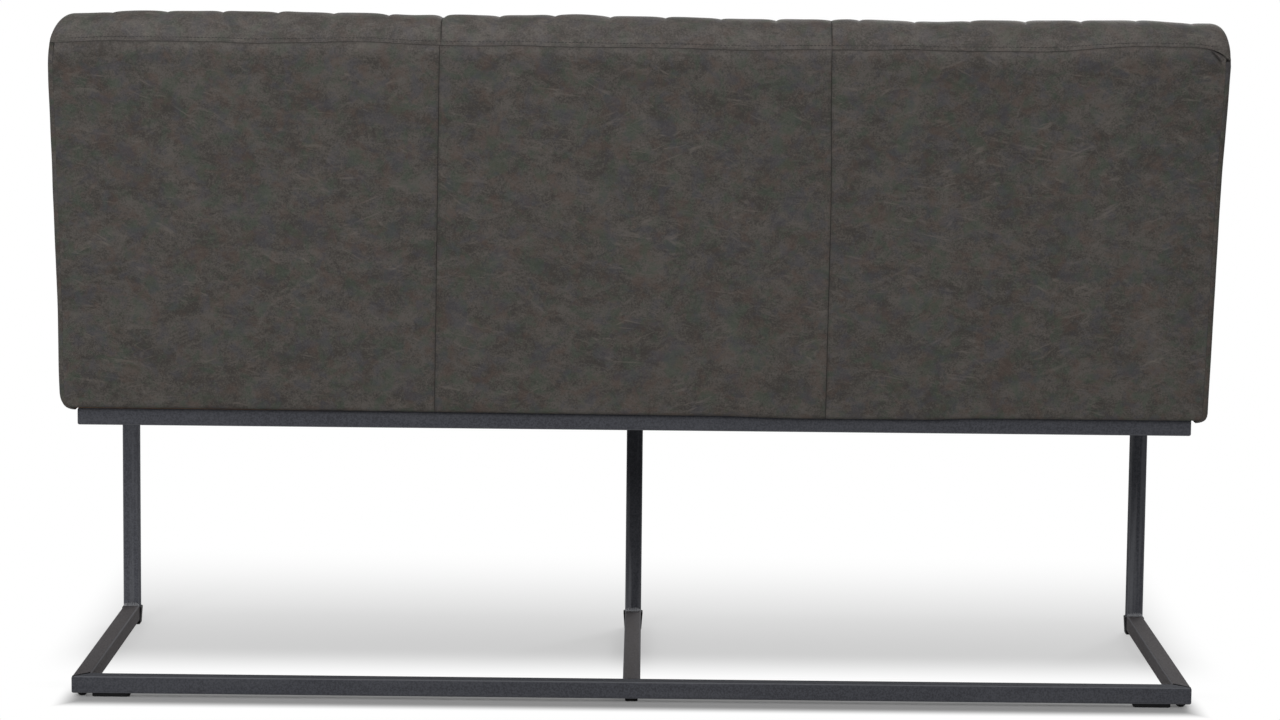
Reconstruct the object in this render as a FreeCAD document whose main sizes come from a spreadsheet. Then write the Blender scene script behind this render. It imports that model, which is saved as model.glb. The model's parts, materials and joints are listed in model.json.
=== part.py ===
import FreeCAD, Part
import collections
import math
import os
import types
import Sketcher

# Dining bench: an upholstered seat and leaning back on a cantilevered frame of square steel tube.
# X runs along the bench, the bench faces -Y and Z is up. The origin is the middle of the footprint
# on the floor. Lengths are millimetres.

# Driving sizes: name, value and what it measures.
DRIVING_SIZES = (
    ("tube_side", 23.5, "outside of the square steel tube"),
    ("tube_wall", 1.5, "wall of the tube"),
    ("tube_corner", 3, "outer corner radius of the tube"),
    ("frame_width", 1500, "steel frame over its two ends"),
    ("floor_depth", 540, "rear face of the floor rail to the front face of the legs"),
    ("floor_rear", 259.8, "middle of the footprint to the rear face of the floor rail"),
    ("seat_setback", 73, "rear seat rail in front of the rear floor rail"),
    ("frame_top", 381.5, "top of the seat frame above the floor"),
    ("glide_height", 5, "flat glide, floor to tube"),
    ("glide_length", 50, "flat glide, along its tube"),
    ("glide_width", 17, "flat glide, across its tube"),
    ("glide_inset", 27, "end of the frame to the near end of a glide"),
    ("glide_setback", 8, "rear face of the floor rail to the rear end of the middle glide"),
    ("glide_corner", 2.5, "cut corner of a glide in plan"),
    ("glide_edge", 1, "chamfer round the sole of a glide"),
    ("clip_length", 18, "clip-on glide under the foot of a leg, along its runner"),
    ("clip_wall", 2.4, "side wall of a clip-on glide at its top"),
    ("clip_draft", 1.8, "how much thinner that wall is at the floor"),
    ("clip_height", 26, "top of a clip-on glide's side walls above the floor"),
    ("stud_diameter", 13, "round glide at a rear corner"),
    ("stud_height", 4.5, "round glide, below the tube"),
    ("stud_inset", 12.5, "end of the frame to the middle of a round glide"),
    ("cloth", 1, "dust cover under the seat board"),
    ("board", 15, "plywood seat board"),
    ("bolt_diameter", 6, "bolts that hold the seat and the back"),
    ("bolt_hole", 7, "bolt holes in tube, board and timber"),
    ("bolt_head", 11.5, "bolt's hexagon head over its corners"),
    ("bolt_head_height", 3.3, "height of a bolt's head"),
    ("washer_diameter", 12.5, "washer under a bolt's head"),
    ("washer_height", 1.6, "thickness of that washer"),
    ("bolt_front", 80, "front face of the legs to the front bolts"),
    ("bolt_rear", 75, "rear face of the seat frame to the rear bolts"),
    ("access_hole", 14, "hole under the rear seat rail for a bolt, its washer and a socket"),
    ("nut_barrel", 8, "outside of a tee nut's barrel"),
    ("nut_flange", 19, "outside of a tee nut's flange"),
    ("nut_flange_height", 1.5, "thickness of that flange"),
    ("nut_length", 11, "tee nut, flange included"),
    ("body_width", 1540, "upholstery over its side covers"),
    ("side_cover", 8, "side covers of seat and back"),
    ("third", 514, "middle panel of the back between its two seams"),
    ("rear_proud", 11.5, "rear panel behind the rear seat rail at the frame's top"),
    ("lean", 0.207, "run of the leaning back for each unit of rise"),
    ("rear_pad", 9, "rear cover with its padding"),
    ("rear_edge", 6, "rounding of the rear cover at its outer edges"),
    ("seam_width", 8, "how far the rear cover curves in beside a seam"),
    ("seam_depth", 3, "how deep it curves in there"),
    ("hem_corner", 12, "rounding of the back's lower corners"),
    ("back_sheet", 4, "thin board behind the timber frame"),
    ("timber_depth", 25, "timber of the back, front to rear"),
    ("timber_width", 45, "timber of the back, seen from the front"),
    ("back_padding", 32, "foam in front of the timber"),
    ("quilt_base", 13, "quilted cover at the stitched lines"),
    ("channel_rise", 7, "how far a channel swells above its stitched lines"),
    ("channels", 21, "widths of a sewn channel across the seat and across the back"),
    ("side_draw", 5, "side covers drawn in below the swell of the channels"),
    ("seam_height", 878.5, "seam between the rear panels and the top strip"),
    ("strip_height", 916.5, "top of the strip along the back's upper edge"),
    ("back_height", 918.5, "top of the channels on the back"),
    ("strip_round", 30, "rounding of the strip from the rear to the top"),
    ("quilt_round", 20, "rounding under the quilt from the front to the top"),
    ("top_corner", 32, "rounding of the back's upper corners, seen from behind"),
    ("seat_height", 493.5, "top of the channels on the seat"),
    ("seat_overhang", 22, "front of the seat in front of the legs"),
    ("seat_crown", 4500, "radius of the seat's crown from rear to front"),
    ("nose_round", 26, "rounding under the quilt at the seat's front edge"),
    ("crevice", 2, "room between the seat cushion and the back"),
    ("bracket_leg", 40, "each leg of a back bracket"),
    ("bracket_sheet", 3, "steel of a back bracket"),
    ("bracket_width", 30, "width of a back bracket"),
    ("bracket_inset", 70, "side of the timber frame to the middle of an outer bracket"),
)

# An edge this near to a plane counts as lying in it.
SNUG = 0.01

# Bolts along the back, and bolts in and across the seat rails.
BACK_BOLTS = 4
SEAT_BOLT_ROWS = 2
SEAT_RAILS = 3

# Flats of a bolt's head, and of a small hole or shank.
HEXAGON_SIDES = 6
SMALL_ROUND_SIDES = 8

document = FreeCAD.newDocument("dining_bench")
bodies = []


# Sizes that keep their formula

class Size:
    """A length with its present value and the sheet formula that gives it."""

    def __init__(self, value, text):
        self.value = value
        self.text = text

    def __add__(self, other):
        other = as_size(other)
        return Size(self.value + other.value, f"({self.text} + {other.text})")

    def __sub__(self, other):
        other = as_size(other)
        return Size(self.value - other.value, f"({self.text} - {other.text})")

    def __mul__(self, other):
        other = as_size(other)
        return Size(self.value * other.value, f"({self.text} * {other.text})")

    def __truediv__(self, other):
        other = as_size(other)
        return Size(self.value / other.value, f"({self.text} / {other.text})")

    def __radd__(self, other):
        return as_size(other) + self

    def __rsub__(self, other):
        return as_size(other) - self

    def __rmul__(self, other):
        return as_size(other) * self

    def __rtruediv__(self, other):
        return as_size(other) / self

    def __neg__(self):
        return 0 - self

    def root(self):
        return Size(math.sqrt(self.value), f"sqrt({self.text})")


def as_size(number):
    """Give a plain number the same form as a sheet size."""
    if isinstance(number, Size):
        return number
    return Size(number, f"({number})")


def fill_sheet():
    """Write the driving sizes into the sheet and hand them back by name."""
    sheet = document.addObject("Spreadsheet::Sheet", "Sizes")
    named = {}
    for row, (name, value, meaning) in enumerate(DRIVING_SIZES, start=1):
        sheet.set(f"A{row}", name)
        sheet.set(f"B{row}", str(value))
        sheet.set(f"C{row}", meaning)
        sheet.setAlias(f"B{row}", name)
        named[name] = Size(value, f"Sizes.{name}")
    document.recompute()
    return types.SimpleNamespace(**named)


size = fill_sheet()


# Sketches: outlines are lists of corners, and every corner and radius is bound to the sheet

# Fasteners in rows: the first one's place, and how many there are over which width and depth.
Grid = collections.namedtuple("Grid", "first columns width rows depth")


def arc_between(start, end, radius):
    """The minor arc from start to end; a positive radius turns left on the way."""
    chord = end - start
    rise = math.sqrt(radius * radius - chord.Length ** 2 / 4)
    to_left = FreeCAD.Vector(-chord.y, chord.x, 0).normalize()
    centre = (start + end) / 2 + to_left * math.copysign(rise, radius)
    first, last = (start, end) if radius > 0 else (end, start)
    angles = [math.atan2(point.y - centre.y, point.x - centre.x) for point in (first, last)]
    circle = Part.Circle(centre, FreeCAD.Vector(0, 0, 1), abs(radius))
    return Part.ArcOfCircle(circle, angles[0], angles[1])


def draw_corners(sketch, corners, closed):
    """Draw edges through corners (across, up) or (across, up, radius of the arc to the next corner)."""
    points = [FreeCAD.Vector(as_size(c[0]).value, as_size(c[1]).value, 0) for c in corners]
    edge_count = len(corners) if closed else len(corners) - 1
    rules = []
    formulas = []
    ends = []
    for k in range(edge_count):
        start = points[k]
        end = points[(k + 1) % len(points)]
        radius = as_size(corners[k][2]) if len(corners[k]) > 2 else None
        if radius is None:
            edge = sketch.addGeometry(Part.LineSegment(start, end), False)
            ends.append((edge, 1, 2))
            continue
        edge = sketch.addGeometry(arc_between(start, end, radius.value), False)
        ends.append((edge, 1, 2) if radius.value > 0 else (edge, 2, 1))
        size_of_arc = radius if radius.value > 0 else -radius
        rules.append(Sketcher.Constraint("Radius", edge, size_of_arc.value))
        formulas.append(size_of_arc.text)
    for k, corner in enumerate(corners):
        edge, side = (ends[k][0], ends[k][1]) if k < edge_count else (ends[-1][0], ends[-1][2])
        for kind, place in (("DistanceX", corner[0]), ("DistanceY", corner[1])):
            place = as_size(place)
            rules.append(Sketcher.Constraint(kind, -1, 1, edge, side, place.value))
            formulas.append(place.text)
    joins = range(edge_count) if closed else range(1, edge_count)
    for k in joins:
        before, after = ends[k - 1], ends[k]
        rules.append(Sketcher.Constraint("Coincident", before[0], before[2], after[0], after[1]))
        formulas.append(None)
    bind(sketch, rules, formulas)


def bind(sketch, rules, formulas):
    """Add constraints to a sketch and tie each one that has a formula to the sheet."""
    first = sketch.ConstraintCount
    sketch.addConstraint(rules)
    for k, formula in enumerate(formulas):
        if formula is not None:
            sketch.setExpression(f"Constraints[{first + k}]", formula)


def rectangle(left, low, right, high):
    return [(left, low), (right, low), (right, high), (left, high)]


def rounded_rectangle(left, low, right, high, radius):
    return [
        (left + radius, low),
        (right - radius, low, radius),
        (right, low + radius),
        (right, high - radius, radius),
        (right - radius, high),
        (left + radius, high, radius),
        (left, high - radius),
        (left, low + radius, radius),
    ]


def flats(across, up, diameter, sides):
    """A regular outline with so many flats and a corner straight to the right of its middle."""
    turns = [2 * math.pi * k / sides for k in range(sides)]
    return [(across + diameter / 2 * math.cos(t), up + diameter / 2 * math.sin(t)) for t in turns]


def small_round(place, diameter):
    """A small hole or shank: at its size a few flats are as good as round."""
    return flats(*place, diameter, SMALL_ROUND_SIDES)


def mirrored(corners):
    """The same outline on the other side of the upright axis."""
    return [(-c[0], *c[1:2], *[-radius for radius in c[2:]]) for c in corners]


# Pieces

class Piece:
    """One physical piece: a body made of sketches and features that are bound to the sheet."""

    def __init__(self, label):
        self.body = document.addObject("PartDesign::Body", label)
        self.body.Label = label
        self.features = []
        bodies.append(self.body)

    def sketch(self, plane, level, outlines, closed=True):
        """A sketch on an origin plane of this body, moved along the plane's axis to a level."""
        sketch = self.body.newObject("Sketcher::SketchObject", self.body.Label + "_sketch")
        sketch.AttachmentSupport = (self.origin(plane + "_Plane"), [""])
        sketch.MapMode = "FlatFace"
        # The XZ plane faces the front of the bench, so its offset runs against Y.
        offset = -as_size(level) if plane == "XZ" else as_size(level)
        sketch.setExpression("AttachmentOffset.Base.z", offset.text)
        for outline in outlines:
            draw_corners(sketch, outline, closed)
        document.recompute()
        return sketch

    def feature(self, kind, profile):
        feature = self.body.newObject("PartDesign::" + kind, self.body.Label + "_" + kind.lower())
        feature.Profile = profile
        self.features.append(feature)
        return feature

    def origin(self, role):
        """A plane or an axis of this body's origin."""
        return next(item for item in self.body.Origin.OriginFeatures if item.Role == role)

    def repeat(self, grid, count):
        """Repeat the last features, so many of them, over a grid."""
        before = self.body.Shape.Volume
        pattern = self.body.newObject("PartDesign::LinearPattern", self.body.Label + "_pattern")
        pattern.Originals = self.features[-count:]
        pattern.Direction = (self.origin("X_Axis"), [""])
        pattern.Occurrences = grid.columns
        pattern.setExpression("Length", grid.width.text)
        if grid.rows > 1:
            pattern.Direction2 = (self.origin("Y_Axis"), [""])
            pattern.Occurrences2 = grid.rows
            pattern.setExpression("Length2", grid.depth.text)
        self.body.Tip = pattern
        document.recompute()
        if self.body.Shape.Volume == before:
            raise RuntimeError(f"a pattern did nothing on {self.body.Label}")
        return self

    def pad(self, plane, level, length, *outlines, leaning=False):
        """Extrude outlines from a level: up, to the right, or from the rear towards the front."""
        pad = self.feature("Pad", self.sketch(plane, level, outlines))
        pad.setExpression("Length", as_size(length).text)
        if leaning:
            pad.UseCustomVector = True
            pad.AlongSketchNormal = True
            pad.Direction = FreeCAD.Vector(0, size.lean.value, 1)
            pad.setExpression("Direction.y", size.lean.text)
        document.recompute()
        return self

    def cut(self, plane, *outlines, level=0, depth=None):
        """Cut outlines right through the piece, or to a depth below a level."""
        before = self.body.Shape.Volume
        pocket = self.feature("Pocket", self.sketch(plane, level, outlines))
        if depth is None:
            pocket.Type = "ThroughAll"
            pocket.SideType = "Symmetric"
        else:
            pocket.setExpression("Length", as_size(depth).text)
        document.recompute()
        if not 0 < self.body.Shape.Volume < before:
            raise RuntimeError(f"a cut missed {self.body.Label}")
        return self

    def edge_feature(self, kind, setting, amount, chosen):
        """Round or chamfer the edges that the test picks."""
        base = self.body.Tip
        names = [f"Edge{k}" for k, edge in enumerate(base.Shape.Edges, start=1) if chosen(edge)]
        feature = self.body.newObject("PartDesign::" + kind, self.body.Label + "_" + kind.lower())
        feature.Base = (base, names)
        feature.setExpression(setting, as_size(amount).text)
        document.recompute()
        return self

    def sweep(self, profile, spine, spine_edges):
        """Carry a profile along a spine of lines and arcs."""
        pipe = self.feature("AdditivePipe", profile)
        pipe.Spine = (spine, [f"Edge{k}" for k in range(1, spine_edges + 1)])
        document.recompute()
        return self


# Levels, faces and the leaning plane of the back

half_frame = size.frame_width / 2
half_body = size.body_width / 2
half_quilt = half_body - size.side_cover
half_third = size.third / 2
tube_bottom = size.glide_height
floor_top = tube_bottom + size.tube_side
seat_rail_bottom = size.frame_top - size.tube_side
board_bottom = size.frame_top + size.cloth
board_top = board_bottom + size.board
leg_front = size.floor_rear - size.floor_depth
leg_rear = leg_front + size.tube_side
seat_rear = size.floor_rear - size.seat_setback
quilt_swell = size.quilt_base + size.channel_rise
side_swell = quilt_swell - size.side_draw
side_centre = half_frame - size.tube_side / 2
cos_lean = 1 / (1 + size.lean * size.lean).root()
sin_lean = size.lean * cos_lean

# Rows of bolts under the seat and under the back
bolt_row_front = leg_front + size.bolt_front
bolt_row_rear = seat_rear - size.bolt_rear
bracket_reach = half_quilt - size.bracket_inset
seat_grid = Grid(
    first=(-side_centre, bolt_row_front),
    columns=SEAT_RAILS,
    width=2 * side_centre,
    rows=SEAT_BOLT_ROWS,
    depth=bolt_row_rear - bolt_row_front,
)
back_grid = Grid(
    first=(-bracket_reach, seat_rear - size.tube_side / 2),
    columns=BACK_BOLTS,
    width=2 * bracket_reach,
    rows=1,
    depth=as_size(0),
)

# Layers of the back, counted level from its rear face
sheet_depth = size.rear_pad
timber_rear = sheet_depth + size.back_sheet
timber_front = timber_rear + size.timber_depth
padding_front = timber_front + size.back_padding
side_front = padding_front + side_swell / cos_lean
quilt_front = padding_front + quilt_swell / cos_lean


def on_back(height, depth):
    """The point of the back at a height, so far in front of its rear face."""
    rear = seat_rear + size.rear_proud + size.lean * (height - size.frame_top)
    return (rear - depth, height)


# Steel frame

def tube_section(across, up):
    """Outer and inner outline of the tube from its lower left corner."""
    far_across = across + size.tube_side
    far_up = up + size.tube_side
    wall = size.tube_wall
    outer = rounded_rectangle(across, up, far_across, far_up, size.tube_corner)
    inner = rectangle(across + wall, up + wall, far_across - wall, far_up - wall)
    return outer, inner


def mitre_waste(outer, inner, square_at):
    """Triangle on the waste side of a mitre from the outer to the inner corner of a joint."""
    past_outer = (2 * outer[0] - inner[0], 2 * outer[1] - inner[1])
    past_inner = (2 * inner[0] - outer[0], 2 * inner[1] - outer[1])
    if square_at == "outer":
        return [past_outer, (past_outer[0], past_inner[1]), past_inner]
    return [past_outer, (past_inner[0], past_outer[1]), past_inner]


def cross_rail(label, rear_face, low):
    """Rail along the whole frame, mitred in plan at both ends."""
    rail = Piece(label)
    front_face = rear_face - size.tube_side
    rail.pad("YZ", -half_frame, size.frame_width, *tube_section(front_face, low))
    ends = []
    for side in (-1, 1):
        outer = (side * half_frame, rear_face)
        inner = (side * (half_frame - size.tube_side), front_face)
        ends.append(mitre_waste(outer, inner, "outer"))
    return rail.cut("XY", *ends)


def depth_tube(label, centre, low, rear_face, side, front_outer, front_inner):
    """Tube from rear to front: mitred to its leg, and to the cross rail at a side of the frame."""
    tube = Piece(label)
    start = rear_face if side else rear_face - size.tube_side
    tube.pad("XZ", start, start - leg_front, *tube_section(centre - size.tube_side / 2, low))
    if side:
        outer = (side * half_frame, rear_face)
        inner = (side * (half_frame - size.tube_side), rear_face - size.tube_side)
        tube.cut("XY", mitre_waste(outer, inner, "inner"))
    return tube.cut("YZ", mitre_waste(front_outer, front_inner, "outer"))


def frame_side(name, side):
    """One loop of the frame: floor runner, leg and seat rail."""
    centre = side * side_centre
    foot_outer, foot_inner = (leg_front, tube_bottom), (leg_rear, floor_top)
    knee_outer, knee_inner = (leg_front, size.frame_top), (leg_rear, seat_rail_bottom)
    depth_tube(name + "_floor_runner", centre, tube_bottom, size.floor_rear, side, foot_outer, foot_inner)
    leg = Piece(name + "_leg")
    leg_height = size.frame_top - tube_bottom
    leg.pad("XY", tube_bottom, leg_height, *tube_section(centre - size.tube_side / 2, leg_front))
    leg.cut(
        "YZ",
        mitre_waste(foot_outer, foot_inner, "inner"),
        mitre_waste(knee_outer, knee_inner, "inner"),
    )
    rail = depth_tube(
        name + "_seat_rail", centre, seat_rail_bottom, seat_rear, side, knee_outer, knee_inner
    )
    rail.cut("XY", *[small_round((centre, row), size.bolt_hole) for row in (bolt_row_front, bolt_row_rear)])


def front_seat_rail(name, side):
    """Half of the front rail, butted between a side seat rail and the middle one."""
    inner_end = size.tube_side / 2
    outer_end = half_frame - size.tube_side
    start = inner_end if side > 0 else -outer_end
    rail = Piece("front_seat_rail_" + name)
    rail.pad("YZ", start, outer_end - inner_end, *tube_section(leg_front, seat_rail_bottom))


def glide(label, across, along, length, width):
    """Flat plastic glide with cut corners and a chamfered sole, from its middle in plan."""
    pad = Piece(label)
    half_length = length / 2
    half_width = width / 2
    end = half_length - size.glide_corner
    side = half_width - size.glide_corner
    quarter = [(half_length, side), (end, half_width)]
    half = [*quarter, *[(-x, y) for x, y in reversed(quarter)]]
    whole = [*half, *[(-x, -y) for x, y in half]]
    outline = [(across + x, along + y) for x, y in whole]
    pad.pad("XY", 0, size.glide_height, outline)
    pad.edge_feature("Chamfer", "Size", size.glide_edge, lambda edge: edge.BoundBox.ZMax < SNUG)


def clip_glide(label, across):
    """Plastic glide under the foot of a leg: two walls with some draft clip over the sides of the tube."""
    inner = size.tube_side / 2
    outer = inner + size.clip_wall
    sole = outer - size.clip_draft
    cut = size.glide_edge
    right_half = [
        (sole - cut, as_size(0)),
        (sole, cut),
        (outer, size.clip_height - cut),
        (outer - cut, size.clip_height),
        (inner, size.clip_height),
        (inner, tube_bottom),
    ]
    left_half = [(-x, z) for x, z in reversed(right_half)]
    outline = [(across + x, z) for x, z in [*right_half, *left_half]]
    rear_face = leg_rear - (size.tube_side - size.clip_length) / 2
    Piece(label).pad("XZ", rear_face, size.clip_length, outline)


def glides():
    """Three flat glides at the rear, three clip-on ones at the front and a round one at each rear corner."""
    runner_middle = size.floor_rear - size.tube_side / 2
    side_place = half_frame - size.glide_inset - size.glide_length / 2
    middle_place = size.floor_rear - size.glide_setback - size.glide_length / 2
    for name, side in (("left", -1), ("right", 1)):
        glide("glide_rear_" + name, side * side_place, runner_middle, size.glide_length, size.glide_width)
        clip_glide("glide_front_" + name, side * side_centre)
    glide("glide_rear_middle", as_size(0), middle_place, size.glide_width, size.glide_length)
    clip_glide("glide_front_middle", as_size(0))
    studs = Piece("corner_glides")
    stud_row = size.floor_rear - size.stud_inset
    stud_reach = half_frame - size.stud_inset
    rounds = [small_round((side * stud_reach, stud_row), size.stud_diameter) for side in (-1, 1)]
    studs.pad("XY", size.glide_height - size.stud_height, size.stud_height, *rounds)
    sole = (size.glide_height - size.stud_height).value + SNUG
    studs.edge_feature("Chamfer", "Size", size.stud_height / 2, lambda edge: edge.BoundBox.ZMax < sole)


def steel_frame():
    cross_rail("rear_floor_rail", size.floor_rear, tube_bottom)
    rail = cross_rail("rear_seat_rail", seat_rear, seat_rail_bottom)
    half_tube = size.tube_side / 2
    rail.cut("XY", small_round(back_grid.first, size.bolt_hole))
    access = small_round(back_grid.first, size.access_hole)
    rail.cut("XY", access, level=seat_rail_bottom + half_tube, depth=half_tube)
    rail.repeat(back_grid, 2)
    for name, side in (("left", -1), ("middle", 0), ("right", 1)):
        frame_side(name, side)
    for name, side in (("left", -1), ("right", 1)):
        front_seat_rail(name, side)


# Fasteners

def bolts(prefix, grid, seat, top):
    """Hexagon bolts with washers, screwed in from below against a seat on the tube."""
    washer_bottom = seat - size.washer_height
    bolt = Piece(prefix + "_bolts")
    head = flats(*grid.first, size.bolt_head, HEXAGON_SIDES)
    bolt.pad("XY", washer_bottom - size.bolt_head_height, size.bolt_head_height, head)
    bolt.pad("XY", washer_bottom, top - washer_bottom, small_round(grid.first, size.bolt_diameter))
    bolt.repeat(grid, 2)
    washer = Piece(prefix + "_washers")
    rim = small_round(grid.first, size.washer_diameter)
    washer.pad("XY", washer_bottom, size.washer_height, rim, small_round(grid.first, size.bolt_hole))
    washer.repeat(grid, 1)


def tee_nuts():
    """Tee nuts pressed into the top of the seat board, their flanges flush with it."""
    bore = small_round(seat_grid.first, size.bolt_diameter)
    barrel = small_round(seat_grid.first, size.nut_barrel)
    flange = small_round(seat_grid.first, size.nut_flange)
    nuts = Piece("tee_nuts")
    nuts.pad("XY", board_top - size.nut_length, size.nut_length, barrel, bore)
    nuts.pad("XY", board_top - size.nut_flange_height, size.nut_flange_height, flange, bore)
    nuts.repeat(seat_grid, 2)


# Seat

crown_middle = (on_back(board_top, quilt_front)[0] + leg_front - size.seat_overhang + quilt_swell) / 2
foam_top = size.seat_height - quilt_swell
foam_front = leg_front - size.seat_overhang + quilt_swell
crown_centre = (crown_middle, foam_top - size.seat_crown)


def seat_curve(swell, rear):
    """The seat's crown and rounded front edge, so far outside the foam, from the rear to the front."""
    crown = size.seat_crown + swell
    nose = size.nose_round + swell
    nose_across = foam_front + size.nose_round
    reach = size.seat_crown - size.nose_round
    over = nose_across - crown_centre[0]
    nose_up = crown_centre[1] + (reach * reach - over * over).root()
    start_over = rear - crown_centre[0]
    start = (rear, crown_centre[1] + (crown * crown - start_over * start_over).root(), crown)
    meet = (
        crown_centre[0] + over * crown / reach,
        crown_centre[1] + (nose_up - crown_centre[1]) * crown / reach,
        nose,
    )
    return [start, meet, (foam_front - swell, nose_up)]


def channel_profile(base, outward):
    """Section of a quilted cover: straight inside, sewn into channels outside.

    The left third of the cover is sewn half a channel further over than the other two.
    """
    pitch = 2 * half_quilt / size.channels
    rise = size.channel_rise
    radius = (pitch * pitch / 4 + rise * rise) / (2 * rise)
    in_line = int(size.channels.value) * 2 // 3
    shifted = int(size.channels.value) - in_line
    lines = [half_quilt - k * pitch for k in range(in_line + 1)]
    lines += [lines[-1] - (k + 0.5) * pitch for k in range(shifted)]
    stitched = base + outward * size.quilt_base
    swell = [(line, stitched, outward * radius) for line in lines]
    return [(-half_quilt, base), (half_quilt, base), *swell, (-half_quilt, stitched)]


def seat():
    seat_back = quilt_front + size.crevice
    foam_rear = on_back(foam_top, seat_back)[0]

    board_rear = on_back(size.frame_top, timber_front)[0]
    board_outline = rectangle(-half_quilt, foam_front, half_quilt, board_rear)
    hole = small_round(seat_grid.first, size.nut_barrel)
    flange = small_round(seat_grid.first, size.nut_flange)
    board = Piece("seat_board")
    board.pad("XY", board_bottom, size.board, board_outline)
    board.cut("XY", hole)
    board.cut("XY", flange, level=board_top, depth=size.nut_flange_height)
    board.repeat(seat_grid, 2)

    cloth = Piece("dust_cover")
    cloth.pad("XY", size.frame_top, size.cloth, board_outline)
    cloth.cut("XY", hole)
    cloth.repeat(seat_grid, 1)

    foam_curve = seat_curve(0, foam_rear)
    foam = Piece("seat_foam")
    foam_outline = [on_back(board_top, seat_back), *foam_curve, (foam_front, board_top)]
    foam.pad("YZ", -half_quilt, 2 * half_quilt, foam_outline)

    quilt = Piece("seat_quilt")
    spine = quilt.sketch("YZ", 0, [[*foam_curve, (foam_front, board_bottom)]], closed=False)
    profile = quilt.sketch("XZ", foam_rear, [channel_profile(foam_curve[0][1], 1)])
    quilt.sweep(profile, spine, 3)

    side_back = side_front + size.crevice
    side_outline = [
        on_back(board_bottom, side_back),
        *seat_curve(side_swell, on_back(foam_top, side_back)[0]),
        (foam_front - side_swell, board_bottom),
    ]
    for name, start in (("left", -half_body), ("right", half_quilt)):
        Piece("seat_side_" + name).pad("YZ", start, size.side_cover, side_outline)


# Back

quilt_top = size.back_height - quilt_swell
quilt_turn = quilt_top - size.quilt_round * (1 - sin_lean)
turn_point = on_back(quilt_turn, padding_front)
quilt_end = (turn_point[0] + size.quilt_round * cos_lean, quilt_top)


def leaning_slab(label, start, length, low, high, depth_rear, depth_front):
    """A board of the back: level top and bottom, faces parallel to the leaning rear face."""
    outline = [
        on_back(low, depth_rear),
        on_back(high, depth_rear),
        on_back(high, depth_front),
        on_back(low, depth_front),
    ]
    return Piece(label).pad("YZ", start, length, outline)


def timber_frame():
    """Two rails and four posts of softwood with a thin board behind them."""
    lower_top = size.frame_top + size.timber_width
    upper_low = size.seam_height - size.timber_width
    whole = 2 * half_quilt
    bottom_rail = leaning_slab(
        "back_bottom_rail", -half_quilt, whole, size.frame_top, lower_top, timber_rear, timber_front
    )
    bottom_rail.cut("XY", small_round(back_grid.first, size.bolt_diameter))
    bottom_rail.repeat(back_grid, 1)
    leaning_slab("back_top_rail", -half_quilt, whole, upper_low, size.seam_height, timber_rear, timber_front)
    outer_post = half_quilt - size.timber_width
    inner_post = bracket_reach / (BACK_BOLTS - 1) - size.timber_width / 2
    starts = (
        ("left", -half_quilt),
        ("inner_left", -inner_post - size.timber_width),
        ("inner_right", inner_post),
        ("right", outer_post),
    )
    for name, start in starts:
        leaning_slab(
            "back_post_" + name, start, size.timber_width, lower_top, upper_low, timber_rear, timber_front
        )
    leaning_slab("back_board", -half_quilt, whole, size.frame_top, size.seam_height, sheet_depth, timber_rear)


def back_brackets():
    """Bent steel straps from the seat board up the front of the bottom rail, one at each bolt."""
    foot = board_top + size.bracket_sheet
    head = board_top + size.bracket_leg
    outline = [
        on_back(board_top, timber_front),
        on_back(head, timber_front),
        on_back(head, timber_front + size.bracket_sheet),
        on_back(foot, timber_front + size.bracket_sheet),
        on_back(foot, timber_front + size.bracket_leg),
        on_back(board_top, timber_front + size.bracket_leg),
    ]
    brackets = Piece("back_brackets")
    brackets.pad("YZ", back_grid.first[0] - size.bracket_width / 2, size.bracket_width, outline)
    brackets.repeat(back_grid, 1)


def round_upper_corner(piece, side):
    """Round an upper corner of the back, seen from behind."""
    reach = size.top_corner
    corner = [
        (half_body - reach, size.back_height, -reach),
        (half_body, size.back_height - reach),
        (half_body + reach, size.back_height - reach),
        (half_body + reach, size.back_height + reach),
        (half_body - reach, size.back_height + reach),
    ]
    piece.cut("XZ", corner if side > 0 else mirrored(corner))


def round_lower_corner(piece, side):
    """Round a lower corner of the back, seen from behind."""
    reach = size.hem_corner
    corner = [
        (half_body - reach, size.frame_top, reach),
        (half_body, size.frame_top + reach),
        (half_body + reach, size.frame_top + reach),
        (half_body + reach, size.frame_top - reach),
        (half_body - reach, size.frame_top - reach),
    ]
    piece.cut("XZ", corner if side > 0 else mirrored(corner))


def rear_panels():
    """Three padded panels, curved in at the seams between them and rounded at the outer edges."""
    rear = on_back(size.frame_top, 0)[0]
    front = on_back(size.frame_top, size.rear_pad)[0]
    height = size.seam_height - size.frame_top
    dip = (size.seam_width * size.seam_width + size.seam_depth * size.seam_depth) / (2 * size.seam_depth)
    outer = [
        (half_third, front),
        (half_body, front),
        (half_body, rear - size.rear_edge, size.rear_edge),
        (half_body - size.rear_edge, rear),
        (half_third + size.seam_width, rear, dip),
        (half_third, rear - size.seam_depth),
    ]
    middle = [
        (-half_third, front),
        (half_third, front),
        (half_third, rear - size.seam_depth, dip),
        (half_third - size.seam_width, rear),
        (size.seam_width - half_third, rear, dip),
        (-half_third, rear - size.seam_depth),
    ]
    Piece("rear_panel_middle").pad("XY", size.frame_top, height, middle, leaning=True)
    for name, side in (("left", -1), ("right", 1)):
        panel = Piece("rear_panel_" + name)
        outline = outer if side > 0 else mirrored(outer)
        panel.pad("XY", size.frame_top, height, outline, leaning=True)
        round_lower_corner(panel, side)


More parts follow.
